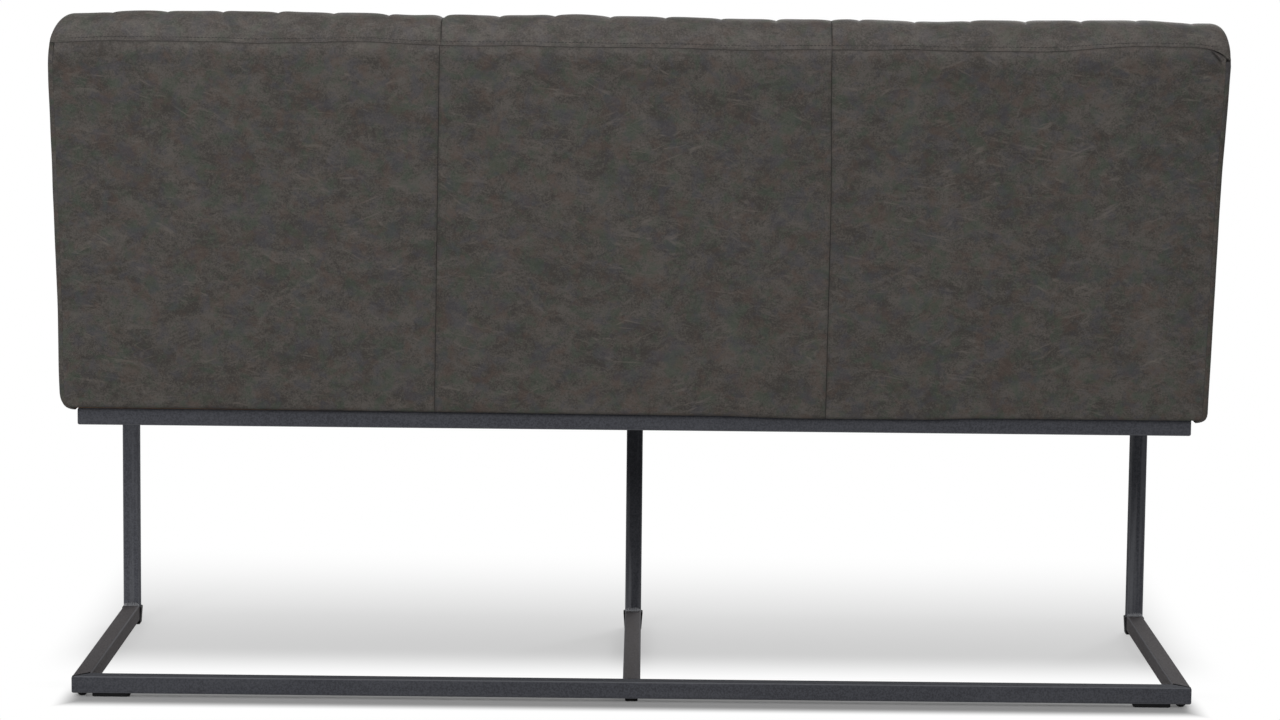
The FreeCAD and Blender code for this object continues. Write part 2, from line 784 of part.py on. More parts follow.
def top_strips():
    """The padded band over the top edge, in three lengths, from the rear seam to the quilt."""
    turn_height = size.strip_height - size.strip_round * (1 + sin_lean)
    turn = on_back(turn_height, 0)
    outline = [
        on_back(size.seam_height, 0),
        (*turn, size.strip_round),
        (turn[0] - size.strip_round * cos_lean, size.strip_height),
        (quilt_end[0], size.strip_height),
        (*quilt_end, size.quilt_round),
        turn_point,
        on_back(size.seam_height, padding_front),
    ]
    outer_length = half_body - half_third
    Piece("top_strip_middle").pad("YZ", -half_third, size.third, outline)
    for name, start, side in (("left", -half_body, -1), ("right", half_third, 1)):
        strip = Piece("top_strip_" + name)
        strip.pad("YZ", start, outer_length, outline)
        round_upper_corner(strip, side)


def back_cushion():
    """Foam, channelled cover and side covers on the front of the back."""
    foam_low = board_top + size.bracket_leg + size.crevice
    leaning_slab(
        "back_foam", -half_quilt, 2 * half_quilt, foam_low, size.seam_height, timber_front, padding_front
    )

    quilt_low = board_top + 2 * size.bracket_sheet + quilt_swell * sin_lean
    start = on_back(quilt_low, padding_front)
    quilt = Piece("back_quilt")
    path = [start, (*turn_point, -size.quilt_round), quilt_end]
    spine = quilt.sketch("YZ", 0, [path], closed=False)
    profile = quilt.sketch("XY", start[1], [channel_profile(as_size(0), -1)])
    # The section stands square to the leaning front.
    profile.AttachmentOffset = FreeCAD.Placement(
        FreeCAD.Vector(0, start[0].value, start[1].value), FreeCAD.Rotation(FreeCAD.Vector(1, 0, 0), -1)
    )
    profile.setExpression("AttachmentOffset.Base.y", start[0].text)
    profile.setExpression("AttachmentOffset.Rotation.Angle", f"-atan({size.lean.text})")
    quilt.sweep(profile, spine, 2)

    outer_turn = (turn_point[0] - side_swell * cos_lean, turn_point[1] + side_swell * sin_lean)
    side_outline = [
        on_back(size.frame_top, size.rear_pad),
        on_back(size.seam_height, size.rear_pad),
        on_back(size.seam_height, padding_front),
        (*turn_point, -size.quilt_round),
        quilt_end,
        (quilt_end[0], quilt_end[1] + side_swell, size.quilt_round + side_swell),
        outer_turn,
        on_back(size.frame_top, side_front),
    ]
    for name, start_x, side in (("left", -half_body, -1), ("right", half_quilt, 1)):
        cover = Piece("back_side_" + name)
        cover.pad("YZ", start_x, size.side_cover, side_outline)
        round_upper_corner(cover, side)
        round_lower_corner(cover, side)
    for side in (-1, 1):
        round_upper_corner(quilt, side)


def build_bench():
    steel_frame()
    glides()
    bolts("seat", seat_grid, seat_rail_bottom, board_top)
    tee_nuts()
    bolts("back", back_grid, size.frame_top - size.tube_wall, size.frame_top + size.timber_width)
    seat()
    timber_frame()
    back_brackets()
    rear_panels()
    top_strips()
    back_cushion()


def check_and_write():
    """Stop on any failed object or bad shape, then write one file for each piece."""
    document.recompute()
    for item in document.Objects:
        if "Invalid" in item.State or "Error" in item.State:
            raise RuntimeError(f"{item.Label} failed")
    for body in bodies:
        if body.Shape.isNull() or not body.Shape.isValid():
            raise RuntimeError(f"{body.Label} has a bad shape")
    os.makedirs("parts", exist_ok=True)
    for body in bodies:
        body.Shape.exportStep(f"parts/{body.Label}.step")
    print(len(bodies), "pieces written")


build_bench()
check_and_write()
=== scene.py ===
import json
import math

import bmesh
import bpy
import numpy as np
from bpy.props import FloatProperty, FloatVectorProperty, IntProperty, PointerProperty
from mathutils import Matrix, Vector


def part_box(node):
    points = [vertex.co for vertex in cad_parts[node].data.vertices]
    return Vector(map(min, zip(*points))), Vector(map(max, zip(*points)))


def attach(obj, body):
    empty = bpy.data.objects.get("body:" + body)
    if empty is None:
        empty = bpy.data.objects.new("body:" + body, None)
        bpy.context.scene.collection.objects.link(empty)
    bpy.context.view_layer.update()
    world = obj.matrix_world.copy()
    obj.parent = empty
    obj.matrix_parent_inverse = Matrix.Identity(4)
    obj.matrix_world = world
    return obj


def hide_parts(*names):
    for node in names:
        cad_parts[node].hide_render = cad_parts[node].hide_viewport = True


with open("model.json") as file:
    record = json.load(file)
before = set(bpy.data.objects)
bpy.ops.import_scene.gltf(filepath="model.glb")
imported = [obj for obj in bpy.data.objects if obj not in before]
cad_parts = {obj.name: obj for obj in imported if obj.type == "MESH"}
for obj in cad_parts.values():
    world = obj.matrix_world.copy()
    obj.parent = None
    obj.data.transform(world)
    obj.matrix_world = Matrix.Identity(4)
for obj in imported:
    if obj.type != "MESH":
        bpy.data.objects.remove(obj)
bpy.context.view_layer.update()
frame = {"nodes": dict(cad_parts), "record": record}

# Covers, stitching, welds and finishes of an upholstered dining bench, built round its CAD parts.
# Metres; X runs along the bench, the bench faces -Y and Z is up.

bl_info = {
    "name": "Dining bench",
    "version": (1, 0, 0),
    "blender": (4, 5, 0),
    "location": "View3D > Sidebar > Bench",
    "description": "Covers, stitching and finishes of an upholstered dining bench",
    "category": "Add Mesh",
}

# Levels and reaches that the covers share with the CAD parts.
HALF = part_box("rear_panel_right")[1].x
QUILT_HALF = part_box("back_quilt")[1].x
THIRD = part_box("rear_panel_middle")[1].x
FRAME_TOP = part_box("rear_panel_middle")[0].z
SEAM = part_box("rear_panel_middle")[1].z
STRIP_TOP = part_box("top_strip_middle")[1].z
STRIP_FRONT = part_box("back_quilt")[1].y
BOARD_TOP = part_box("seat_board")[1].z
BOARD_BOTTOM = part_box("seat_board")[0].z
FOAM_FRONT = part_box("seat_foam")[0].y
FOAM_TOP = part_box("seat_foam")[1].z
SEAT_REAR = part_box("seat_foam")[1].y
LEG_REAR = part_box("front_seat_rail_left")[1].y
FLOOR_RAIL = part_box("rear_floor_rail")
TUBE = FLOOR_RAIL[1].z - FLOOR_RAIL[0].z
SIDES = (("left", -1), ("right", 1))


def srgb(red, green, blue):
    """A screen colour, 0 to 255, in linear light."""
    parts = [part / 255 for part in (red, green, blue)]
    return tuple(p / 12.92 if p <= 0.04045 else ((p + 0.055) / 1.055) ** 2.4 for p in parts)


def number(label, about, value, **more):
    return FloatProperty(name=label, description=about, default=value, **more)


def length(label, about, value):
    return number(label, about, value, unit="LENGTH", precision=4)


def colour(label, about, value):
    return FloatVectorProperty(
        name=label, description=about, default=value, subtype="COLOR", size=3, min=0, max=1
    )


class BenchSizes(bpy.types.PropertyGroup):
    """Sizes of the covers and of their stitching."""

    lean: number("Lean", "Run of the back for each unit of rise", 0.207)
    rear_foot: length("Rear foot", "Rear face of the back at the top of the steel frame", 0.1983)
    cover: length("Cover", "Rear cover with its padding", 0.0085)
    side_wrap: length("Side wrap", "How far the side covers reach round to the rear", 0.0065)
    seam_roll: length("Seam roll", "Roll of a cover into the long seam", 0.0011)
    fine_roll: length("Fine roll", "Roll of a cover into an upright seam", 0.0008)
    side_roll: length("Side roll", "Roll of a cover into the seams of the sides", 0.0003)
    tuck: length("Tuck", "How far the covers ease forward into the long seam", 0.0026)
    ease: length("Ease", "Height over which the rear covers ease into the long seam", 0.020)
    edge_roll: length("Edge roll", "Rounding of the outer edges", 0.006)
    hem_left: length("Left hem", "Height of the rounding of the back's lower left corner", 0.010)
    hem_right: length("Right hem", "Height of the rounding of the back's lower right corner", 0.024)
    droop_left: length("Left droop", "How far the top edge droops at its left end", 0.0026)
    droop_right: length("Right droop", "How far the top edge droops at its right end", 0.0046)
    corner_left: length("Left corner", "Width of the rounding of the left upper corner", 0.024)
    corner_right: length("Right corner", "Width of the rounding of the right upper corner", 0.032)
    back_padding: length("Back padding", "Rear face of the back to the foam's front, level", 0.070)
    quilt_round: length("Quilt rounding", "Rounding under the quilt at the top of the back", 0.020)
    channels: IntProperty(name="Channels", description="Widths of a channel across the bench", default=21)
    channel_base: length("Channel base", "Quilted cover at its stitched lines", 0.013)
    channel_rise: length("Channel rise", "Swell of a channel above its stitched lines", 0.007)
    strip_lift: length("Strip lift", "How far the strip's top stands above its CAD level", 0.0009)
    notch: length("Notch", "Dip of the strip's top at a stitched line", 0.0026)
    swell_cap: length("Swell cap", "Furthest that a point of a channel may move as it swells", 0.006)
    seat_crown: length("Seat crown", "Radius of the seat from rear to front", 4.5)
    nose_round: length("Nose rounding", "Rounding under the quilt at the seat's front edge", 0.026)
    stitch: length("Stitch", "Length of a stitch of thread", 0.0032)
    stitch_pitch: length("Stitch pitch", "From one stitch to the next", 0.0047)
    thread: length("Thread", "Thickness of the thread", 0.0008)
    topstitch: length("Topstitch", "Row of stitches above the long seam", 0.0060)
    weld: length("Weld", "Size of a weld at the foot of a leg", 0.0050)


class BenchFinishes(bpy.types.PropertyGroup):
    """Colours of the finishes."""

    leather_dark: colour("Leather, dark", "Darker clouds of the leather", srgb(60, 57, 54))
    leather_pale: colour("Leather, pale", "Paler clouds of the leather", srgb(87, 83, 79))
    leather_red: colour("Leather, warm tint", "Warm patches of the leather", srgb(82, 68, 62))
    leather_green: colour("Leather, green tint", "Green-grey patches of the leather", srgb(60, 74, 62))
    leather_blue: colour("Leather, cool tint", "Cool patches of the leather", srgb(67, 67, 74))
    leather_wisp: colour("Leather, wisps", "Pale rubbed wisps and scratches", srgb(108, 102, 96))
    # Also the painted light along the long seam and on the strip, besides rubbed edges.
    leather_rub_and_light: colour("Leather, rubbed", "Leather that is rubbed pale along an edge", srgb(102, 97, 94))
    thread: colour("Thread", "Sewing thread", srgb(38, 36, 35))
    tube: colour("Tube", "Powder coat of the tube", srgb(68, 69, 74))
    # The runners' coat is a little warmer, and painted paler for the light they catch from the floor.
    tube_runners_painted_light: colour("Tube, runners", "Powder coat of the runners, a little warmer", srgb(80, 77, 78))
    # Also the painted highlight on rounded edges and welds, besides rubbed edges and streaks.
    tube_rub_and_highlight: colour("Tube, edges", "Powder coat where it is rubbed", srgb(108, 109, 113))
    plastic: colour("Plastic", "Glides", srgb(26, 26, 27))
    plywood: colour("Plywood", "Seat board", srgb(186, 150, 105))
    softwood: colour("Softwood", "Timber of the back", srgb(205, 172, 122))
    hardboard: colour("Hardboard", "Thin board of the back", srgb(120, 84, 54))
    cloth: colour("Dust cloth", "Cloth under the seat", srgb(34, 34, 35))
    zinc: colour("Zinc", "Bolts, washers and nuts", srgb(176, 178, 180))
    steel: colour("Steel", "Brackets of the back", srgb(140, 141, 142))


class BenchStage(bpy.types.PropertyGroup):
    """Light and floor."""

    floor: colour("Floor", "Plain pale floor", (0.52, 0.52, 0.52))
    floor_glow: number("Floor glow", "Share of plain white under the bench", 0.42)
    sky: number("Sky", "Strength of the light from all round", 0.40)
    over: number("Overhead", "Power of the lamp above", 9, unit="POWER")
    key: number("Key", "Power of the lamp beside the camera", 146, unit="POWER")
    fill: number("Fill", "Power of the lamp at the other side", 103, unit="POWER")


# Numbers over whole arrays

def smoothstep(low, high, value):
    """0 below low, 1 above high, an S of 3t^2 - 2t^3 between."""
    t = np.clip((value - low) / (high - low), 0, 1)
    return t * t * (3 - 2 * t)


def roll_in(distance, radius):
    """Depth of a cover at this distance from its edge, where it turns in by a quarter circle."""
    inside = np.clip(radius - distance, 0, radius)
    return radius - np.sqrt(np.maximum(radius * radius - inside * inside, 0))


def bells(x, rows):
    """Sum of bell curves along X, each with its place, its width and its height."""
    return sum(height * np.exp(-(((x - place) / width) ** 2)) for place, width, height in rows)


# Places over a roll at an edge, in radii of the roll.
ROLL_STEPS = np.array([0, 0.03, 0.11, 0.27, 0.52, 0.85, 1.3])


def places(span, step, start, end):
    """Places from 0 to a span: close together over the rolls at both ends, evenly spread between."""
    head = start * ROLL_STEPS
    tail = span - end * ROLL_STEPS[::-1]
    count = max(2, round((tail[0] - head[-1]) / step))
    return np.concatenate([head, np.linspace(head[-1], tail[0], count + 1)[1:-1], tail])


def merged(first, second, closest=2e-4):
    """Two rows of places as one, without any that lies too close to the one before."""
    row = np.unique(np.concatenate([first, second]))
    kept = row[np.concatenate([[True], np.diff(row) > closest])]
    kept[-1] = row[-1]
    return kept


def waves(across, up, wavelength, seed, count=14):
    """Soft unevenness between about -1 and 1: plane waves of random directions and phases, added up."""
    draw = np.random.default_rng(seed)
    turns = draw.uniform(0, 2 * math.pi, (count, 2))
    lengths = wavelength * draw.uniform(0.6, 1.7, count)
    total = np.zeros(np.broadcast(across, up).shape)
    for (turn, phase), size in zip(turns, lengths):
        total += np.sin(2 * math.pi * (across * math.cos(turn) + up * math.sin(turn)) / size + phase)
    return total / math.sqrt(2 * count)


class Run:
    """A run of points in the Y-Z plane, read at any distance along it, with normals to its left."""

    def __init__(self, *stretches):
        points = np.concatenate(stretches)
        steps = np.linalg.norm(np.diff(points, axis=0), axis=1)
        self.points = points[np.concatenate([[True], steps > 1e-9])]
        steps = np.linalg.norm(np.diff(self.points, axis=0), axis=1)
        self.along = np.concatenate([[0], np.cumsum(steps)])
        self.span = self.along[-1]
        ways = np.gradient(self.points, self.along, axis=0)
        self.ways = ways / np.linalg.norm(ways, axis=1, keepdims=True)

    def at(self, along):
        """Points and left-hand normals, as arrays of Y and Z."""
        y, z = (np.interp(along, self.along, self.points[:, k]) for k in (0, 1))
        way_y, way_z = (np.interp(along, self.along, self.ways[:, k]) for k in (0, 1))
        return y, z, -way_z, way_y


def straight(start, end, count=40):
    return np.linspace(start, end, count)


def arc(centre, radius, start, end, count=60):
    """Points on a circle between two angles, counted from Y towards Z."""
    turn = np.linspace(start, end, count)
    return np.stack([centre[0] + radius * np.cos(turn), centre[1] + radius * np.sin(turn)], axis=-1)


# Meshes

def add_object(name, data):
    """A new object in the scene."""
    thing = bpy.data.objects.new(name, data)
    bpy.context.scene.collection.objects.link(thing)
    return thing


def new_piece(name, points, faces, slot, marks=None):
    """An object at the origin from points and faces, turned right side out, that rides on the bench.

    Marks are numbers at the points that the leather reads: which cut of leather it is, the painted shade
    in its seams, folds and stitched lines, and where it is paler, rubbed and with painted light.
    """
    mesh = bpy.data.meshes.new(name)
    mesh.from_pydata(points.tolist(), [], faces)
    shell = bmesh.new()
    shell.from_mesh(mesh)
    if shell.calc_volume(signed=True) < 0:
        bmesh.ops.reverse_faces(shell, faces=shell.faces)
    shell.to_mesh(mesh)
    shell.free()
    mesh.polygons.foreach_set("use_smooth", np.ones(len(mesh.polygons), bool))
    for label, values in (marks or {}).items():
        mark = mesh.attributes.new(label, "FLOAT", "POINT")
        mark.data.foreach_set("value", values.astype(np.float32))
    piece = add_object(name, mesh)
    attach(piece, "root")
    return piece


def closed_pad(name, outer, inner, slot, cut, painted_shade, rub_and_light=0.0):
    """A closed pad: a grid of outer points, walls from its border to an inner loop, and a face on that."""
    rows, columns = outer.shape[:2]
    index = np.arange(rows * columns).reshape(rows, columns)
    quads = np.stack([index[:-1, :-1], index[:-1, 1:], index[1:, 1:], index[1:, :-1]], axis=-1)
    loop = np.concatenate([index[0, :-1], index[:-1, -1], index[-1, :0:-1], index[:0:-1, 0]])
    ring = rows * columns + np.arange(len(loop))
    walls = np.stack([np.roll(loop, -1), loop, ring, np.roll(ring, -1)], axis=-1)
    points = np.concatenate([outer.reshape(-1, 3), inner.reshape(-1, 3)[loop]])
    marks = {"cut": np.full(len(points), float(cut))}
    # The hidden walls and inner face take the full painted shade and none of the paler leather.
    for label, values, hidden in (("painted_shade", painted_shade, 1.0), ("rub_and_light", rub_and_light, 0.0)):
        seen = np.broadcast_to(values, (rows, columns)).ravel()
        marks[label] = np.concatenate([seen, np.full(len(loop), hidden)])
    faces = quads.reshape(-1, 4).tolist() + walls.tolist() + [ring[::-1].tolist()]
    return new_piece(name, points, faces, slot, marks)


def stack(x, y, z):
    """One grid of points from three grids of coordinates, or numbers for those that don't change."""
    return np.stack(np.broadcast_arrays(x, y, z), axis=-1)


def ring_faces(count, sides):
    """Faces over rings of points, one after the other, and to a point at each end that follows them all.

    Gives the quads between the rings and the triangles to the two points.
    """
    index = np.arange(count * sides).reshape(count, sides)
    after = np.roll(index, -1, axis=1)
    quads = np.stack([index[:-1], after[:-1], after[1:], index[1:]], axis=-1).reshape(-1, 4)
    tip = count * sides
    caps = np.concatenate([stack(after[0], index[0], tip), stack(index[-1], after[-1], tip + 1)])
    return quads, caps


def tube_along(points, radii, sides):
    """Points and faces of a round bead along a line of points, closed by a point at each end."""
    ways = np.gradient(points, axis=0)
    ways /= np.linalg.norm(ways, axis=1, keepdims=True)
    helper = np.where(np.abs(ways[:, 2:]) < 0.9, [[0, 0, 1.0]], [[1.0, 0, 0]])
    first = np.cross(ways, helper)
    first /= np.linalg.norm(first, axis=1, keepdims=True)
    second = np.cross(ways, first)
    turn = np.linspace(0, 2 * math.pi, sides, endpoint=False)[None, :, None]
    outward = np.cos(turn) * first[:, None] + np.sin(turn) * second[:, None]
    rings = points[:, None] + radii[:, None, None] * outward
    quads, caps = ring_faces(len(points), sides)
    corners = np.concatenate([rings.reshape(-1, 3), points[[0, -1]]])
    return corners, quads.tolist() + caps.tolist()


# Rings of a stitch, as shares of its half length, the sides of a ring, and how far the middle of a thread
# stands above the cover, in threads.
STITCH_RINGS = np.array([-0.92, -0.5, 0.5, 0.92])
STITCH_SIDES = 6
THREAD_PROUD = 0.3


def stitches(size, places_at, ways, normals):
    """Points and faces of short rounded threads, one at each place, along its way.

    Each is a body of rings of radius (1 - t^4)^0.5, so all of them are one array of
    place + way * a + side * b + normal * c.
    """
    turn = np.linspace(0, 2 * math.pi, STITCH_SIDES, endpoint=False)
    ring = np.sqrt(1 - STITCH_RINGS ** 4)
    along = np.concatenate([np.repeat(STITCH_RINGS, STITCH_SIDES), [-1, 1]]) * size.stitch / 2
    wide = np.concatenate([np.outer(ring, np.cos(turn)).ravel(), [0, 0]]) * size.thread / 2
    high = np.concatenate([np.outer(ring, np.sin(turn)).ravel(), [0, 0]]) * size.thread / 2
    sides = np.cross(ways, normals)
    points = (
        places_at[:, None]
        + ways[:, None] * along[:, None]
        + sides[:, None] * wide[:, None]
        + normals[:, None] * high[:, None]
    )
    quads, caps = ring_faces(len(STITCH_RINGS), STITCH_SIDES)
    first = len(along) * np.arange(len(places_at))[:, None, None]
    faces = (quads + first).reshape(-1, 4).tolist() + (caps + first).reshape(-1, 3).tolist()
    return points.reshape(-1, 3), faces


# The shape of the back

# Spacing of the points of the covers.
REAR_GRID = 0.0035
STRIP_GRID = 0.0028
COLUMN_GRID = 0.004
QUILT_GRID = 0.0045
SEAT_SIDE_GRID = 0.005

# Swell of the covers, and the distance from their borders over which it comes up.
REAR_SWELL, BACK_SIDE_SWELL, SEAT_SIDE_SWELL = 0.0014, 0.0025, 0.002
SWELL_IN = 0.03

# Height of the unevenness of the rear covers, and of the others.
REAR_UNEVEN, UNEVEN = 0.0005, 0.0006

# How far a cover's hidden inner loop keeps from the cover's edges.
INSET = 0.001

# How far the quilted covers reach past their CAD width, and the side covers behind it.
QUILT_LAP = 0.006


def crease_at(distance, fade=0.0009):
    """Falls from 1 at a seam with distance: the painted shade along a seam or stitched line, and the fade
    of dips and puckers.
    """
    return np.exp(-distance / fade)


def deepest(*rolls):
    """The largest of several rolls, each a distance from an edge and a radius."""
    return np.maximum.reduce([roll_in(distance, radius) for distance, radius in rolls])


def rear_y(size, height):
    """Rear face of the back: straight, leaning by a fixed run for each unit of rise."""
    return size.rear_foot + size.lean * (height - FRAME_TOP)


def lean_way(size):
    """Cosine and sine of the lean."""
    cosine = 1 / math.sqrt(1 + size.lean ** 2)
    return cosine, size.lean * cosine


# Waves of the long seam as it is sewn: place, width and rise.
SEAM_WAVES = (
    (0.36, 0.065, 0.0034),
    (0.50, 0.030, -0.0012),
    (0.155, 0.030, 0.0013),
    (-0.14, 0.050, -0.0020),
    (-0.354, 0.025, 0.0016),
)


# How far the long seam lies below its CAD level, its rise towards each end and its fall at the corner.
SEAM_BELOW = 0.0020
LEFT_RISE, LEFT_FALL = 0.0085, 0.0185
RIGHT_RISE, RIGHT_FALL = 0.0022, 0.0032


def seam_height(x):
    """The long seam: level but for its waves, higher over both ends and drawn down at the corners."""
    left = LEFT_RISE * smoothstep(0.52, 0.66, -x) - LEFT_FALL * np.clip((-x - 0.69) / 0.08, 0, 1) ** 4.6
    right = RIGHT_RISE * smoothstep(0.20, 0.62, x) - RIGHT_FALL * smoothstep(0.69, HALF, x)
    return SEAM - SEAM_BELOW + left + right + bells(x, SEAM_WAVES)


def seam_shows(x):
    """How far the long seam's painted shade shows: all along, but for its left end, where it closes up."""
    return smoothstep(HALF - 0.005, HALF - 0.014, -x)


# Hang of the rear covers over their left half, and what more there is left of the middle.
HANG, MORE_HANG = 0.0026, 0.0025


def hang(x):
    """How far the lower edge of the rear covers hangs below the top of the steel frame."""
    more = smoothstep(-0.10, -0.22, x) * smoothstep(-0.46, -0.39, x)
    return HANG * smoothstep(0.60, -0.10, x) + MORE_HANG * more


# Unevenness of the top edge, a broad sag first, then from channel to channel: place, width and fall.
TOP_WAVES = (
    (-0.30, 0.13, 0.0026),
    (0.67, 0.030, -0.0006),
    (0.547, 0.022, -0.0011),
    (0.465, 0.016, -0.0009),
    (0.296, 0.030, 0.0022),
    (0.210, 0.040, 0.0006),
    (0.122, 0.014, -0.0009),
    (0.077, 0.030, -0.0017),
    (-0.090, 0.030, 0.0006),
    (-0.138, 0.040, 0.0014),
    (-0.290, 0.040, -0.0017),
    (-0.397, 0.030, 0.0016),
    (-0.660, 0.030, -0.0012),
)


def top_drop(size, x):
    """How far the top edge lies below its level.

    It sags by a millimetre over its middle and more left of that, is uneven from channel to channel,
    droops near an end and rounds off as a quarter of a superellipse, squarer at the left.
    """
    reach = np.abs(x)
    sag = 0.0010 * smoothstep(0.32, 0.20, x) * smoothstep(-0.62, -0.50, x) + bells(x, TOP_WAVES)
    droop = np.where(x > 0, size.droop_right, size.droop_left)
    width = np.where(x > 0, size.corner_right, size.corner_left)
    power = np.where(x > 0, 2.0, 2.4)
    over = np.clip((reach - HALF + width) / width, 0, 1)
    corner = 1 - (1 - over ** power) ** (1 / power)
    droop_here = droop * smoothstep(HALF - 0.14, HALF - 0.02, reach)
    return sag + droop_here + (STRIP_TOP - SEAM - droop) * corner


def top_share(size, x, seam):
    """Height of the top edge above a seam at x, as a share of its full height, and never quite 0."""
    share = (STRIP_TOP - top_drop(size, x) - seam) / (STRIP_TOP - SEAM)
    return np.maximum(share, 0.02)


def end_columns(size, start, side):
    """Columns from a seam to an end of the bench, closer together round the upper corner."""
    width = size.corner_right if side > 0 else size.corner_left
    flat = places(HALF - width - start, COLUMN_GRID, COLUMN_GRID, 0.001)
    turn = np.linspace(0, math.pi / 2, 16)[1:]
    return side * np.concatenate([start + flat, HALF - width + width * np.sin(turn)])


def hem_drop(size, height, side):
    """How far a side of the back comes in at its lower corner: a quarter ellipse, taller than wide."""
    high, narrow = (size.hem_right, 0.55) if side > 0 else (size.hem_left, 0.85)
    return narrow * roll_in(height - FRAME_TOP, high)


# Swell of the left side of the back, and spread and draw of its right side.
LEFT_SWELL = 0.0036
RIGHT_SPREAD, RIGHT_DRAW = 0.0020, 0.0026


def side_out(height, side):
    """How far a side of the back stands out of its straight line.

    The left side swells below its upper corner; the right one draws in there and spreads at the foot.
    """
    left = LEFT_SWELL * smoothstep(0.68, SEAM, height)
    right = RIGHT_SPREAD * smoothstep(0.52, 0.42, height)
    right = right - RIGHT_DRAW * smoothstep(SEAM - 0.045, SEAM, height) ** 2
    return np.where(np.asarray(side) > 0, right, left)


# X of the two seams between the rear covers at the top, and how far they lean away on their way down.
SEAM_TOPS = (0.0040 - THIRD, THIRD + 0.0012)
RIGHT_SEAM_LEAN, LEFT_SEAM_LEAN = 0.0103, 0.0040


def panel_edge(size, place, v):
    """X of an upright edge of the rear covers at v, from 0 at the foot to 1 at the long seam.

    Places 1 and -1 are the seams between covers, which lean as sewn; 2 and -2 are the outer edges.
    """
    if place == 1:
        return SEAM_TOPS[1] + RIGHT_SEAM_LEAN * (1 - v)
    if place == -1:
        return SEAM_TOPS[0] - LEFT_SEAM_LEAN * smoothstep(1.0, 0.55, v)
    height = FRAME_TOP + v * (SEAM - FRAME_TOP)
    side = place / 2
    return side * (HALF - size.side_wrap - hem_drop(size, height, side) + side_out(height, side))


# Width and height of the folded corner, and the spacing of the points there.
FOLDED, FOLD_GRID = 0.05, 0.0008

# Folds below the end of the long seam at the left corner: where each starts, how far it runs across and
# down, its height and its width.
CORNER_FOLDS = (
    (-0.7470, 0.0020, -0.0140, 0.0080, -0.0026, 0.0013),
    (-0.7450, 0.0000, -0.0160, 0.0045, 0.0013, 0.0020),
    (-0.7480, 0.0080, -0.0130, 0.0075, 0.0012, 0.0024),
    (-0.7300, 0.0310, -0.0260, 0.0230, 0.0006, 0.0040),
    (-0.7340, 0.0220, -0.0240, 0.0200, -0.0007, 0.0035),
)


def corner_folds(x, from_top):
    """Small folds of the cover below the long seam: each a bell across its line, fading at its two ends.

    Gives their height and, for the first and deepest, the painted shade along it.
    """
    total = np.zeros_like(x)
    fold_shade = None
    for across, down, run, fall, height, width in CORNER_FOLDS:
        span = math.hypot(run, fall)
        along = ((x - across) * run + (from_top - down) * fall) / span ** 2
        aside = ((from_top - down) * run - (x - across) * fall) / span
        within = smoothstep(-0.25, 0.25, along) * smoothstep(1.25, 0.75, along)
        bell = within * np.exp(-((aside / width) ** 2))
        total += height * bell
        fold_shade = 0.8 * bell ** 2 if fold_shade is None else fold_shade
    return total, fold_shade


def rear_cover(size, name, first, second, cut):
    """Cover over one width of the rear, between two of its upright edges.

    A leaning plane that swells a little and eases forward to the long seam. Depth at a border is the
    largest of the four rolls; the swell is a low crown and a soft unevenness.
    """
    cosine, sine = lean_way(size)
    rolls = [size.side_roll if abs(place) == 2 else size.fine_roll for place in (first, second)]
    middle = np.array(0.5)
    width = float(panel_edge(size, second, middle) - panel_edge(size, first, middle))
    rise = SEAM - FRAME_TOP
    across = places(width, REAR_GRID, *rolls)
    up = places(rise, REAR_GRID, size.edge_roll, size.seam_roll)
    if first == -2:
        across = merged(across, np.arange(FOLD_GRID, FOLDED, FOLD_GRID))
        up = merged(up, rise - np.arange(3 * FOLD_GRID, FOLDED, FOLD_GRID))
    u, v = np.meshgrid(across / width, up / rise)
    left, right = panel_edge(size, first, v), panel_edge(size, second, v)
    x = left + u * (right - left)
    low, high = FRAME_TOP - hang(x), seam_height(x)
    height = low + v * (high - low)
    from_left, from_right, from_low, from_top = x - left, right - x, height - low, high - height
    depth = deepest(
        (from_left, rolls[0]),
        (from_right, rolls[1]),
        (from_top, size.seam_roll),
        (from_low, size.edge_roll),
    )
    depth = depth + size.tuck * np.clip(1 - from_top / size.ease, 0, 1) ** 2
    fade = smoothstep(0, SWELL_IN, np.minimum.reduce([from_left, from_right, from_low, from_top]))
    crown = 4 * u * (1 - u) * np.sqrt(4 * v * (1 - v))
    swell = REAR_SWELL * crown + REAR_UNEVEN * fade * waves(x, height, 0.13, cut)
    if first == -2:
        folds, fold_shade = corner_folds(x, from_top)
        swell = swell + folds
    proud = swell - depth
    outer = stack(x, rear_y(size, height) + proud * cosine, height - proud * sine)
    level = np.clip(height, FRAME_TOP + INSET, high - 4 * INSET)
    inner = stack(np.clip(x, left + INSET, right - INSET), rear_y(size, level) - size.cover, level)
    # Painted shade in the long seam, in the seams between covers and along the first fold at the left
    # corner.
    painted_shade = crease_at(from_top) * seam_shows(x)
    for gap, place in ((from_left, first), (from_right, second)):
        if abs(place) == 1:
            painted_shade = np.maximum(painted_shade, 0.7 * crease_at(gap))
    if first == -2:
        painted_shade = np.maximum(painted_shade, fold_shade)
    # Paler where the cover eases into the long seam: rubbed, and painted light where it turns to face up.
    return closed_pad(name, outer, inner, "leather", cut, painted_shade, smoothstep(size.ease, 0.0, from_top))


# Where the three lengths of the strip are joined.
STRIP_SEAMS = (0.0040 - THIRD, THIRD - 0.0006)

# How far a stitched line's dip in the strip's top reaches to its left and to its right.
NOTCH_LEFT, NOTCH_RIGHT = 0.004, 0.008

# Columns beside a stitched line.
NOTCH_COLUMNS = np.array([-0.004, -0.0015, 0, 0.0015, 0.004])


def strip_run(size):
    """Section of the strip: a quarter circle, upright at the seam and level at the top, then forward."""
    radius = STRIP_TOP - SEAM
    foot = rear_y(size, SEAM) - size.tuck
    return Run(
        arc((foot - radius, SEAM), radius, 0, math.pi / 2, 90),
        straight((foot - radius, STRIP_TOP), (STRIP_FRONT, STRIP_TOP), 10),
    )


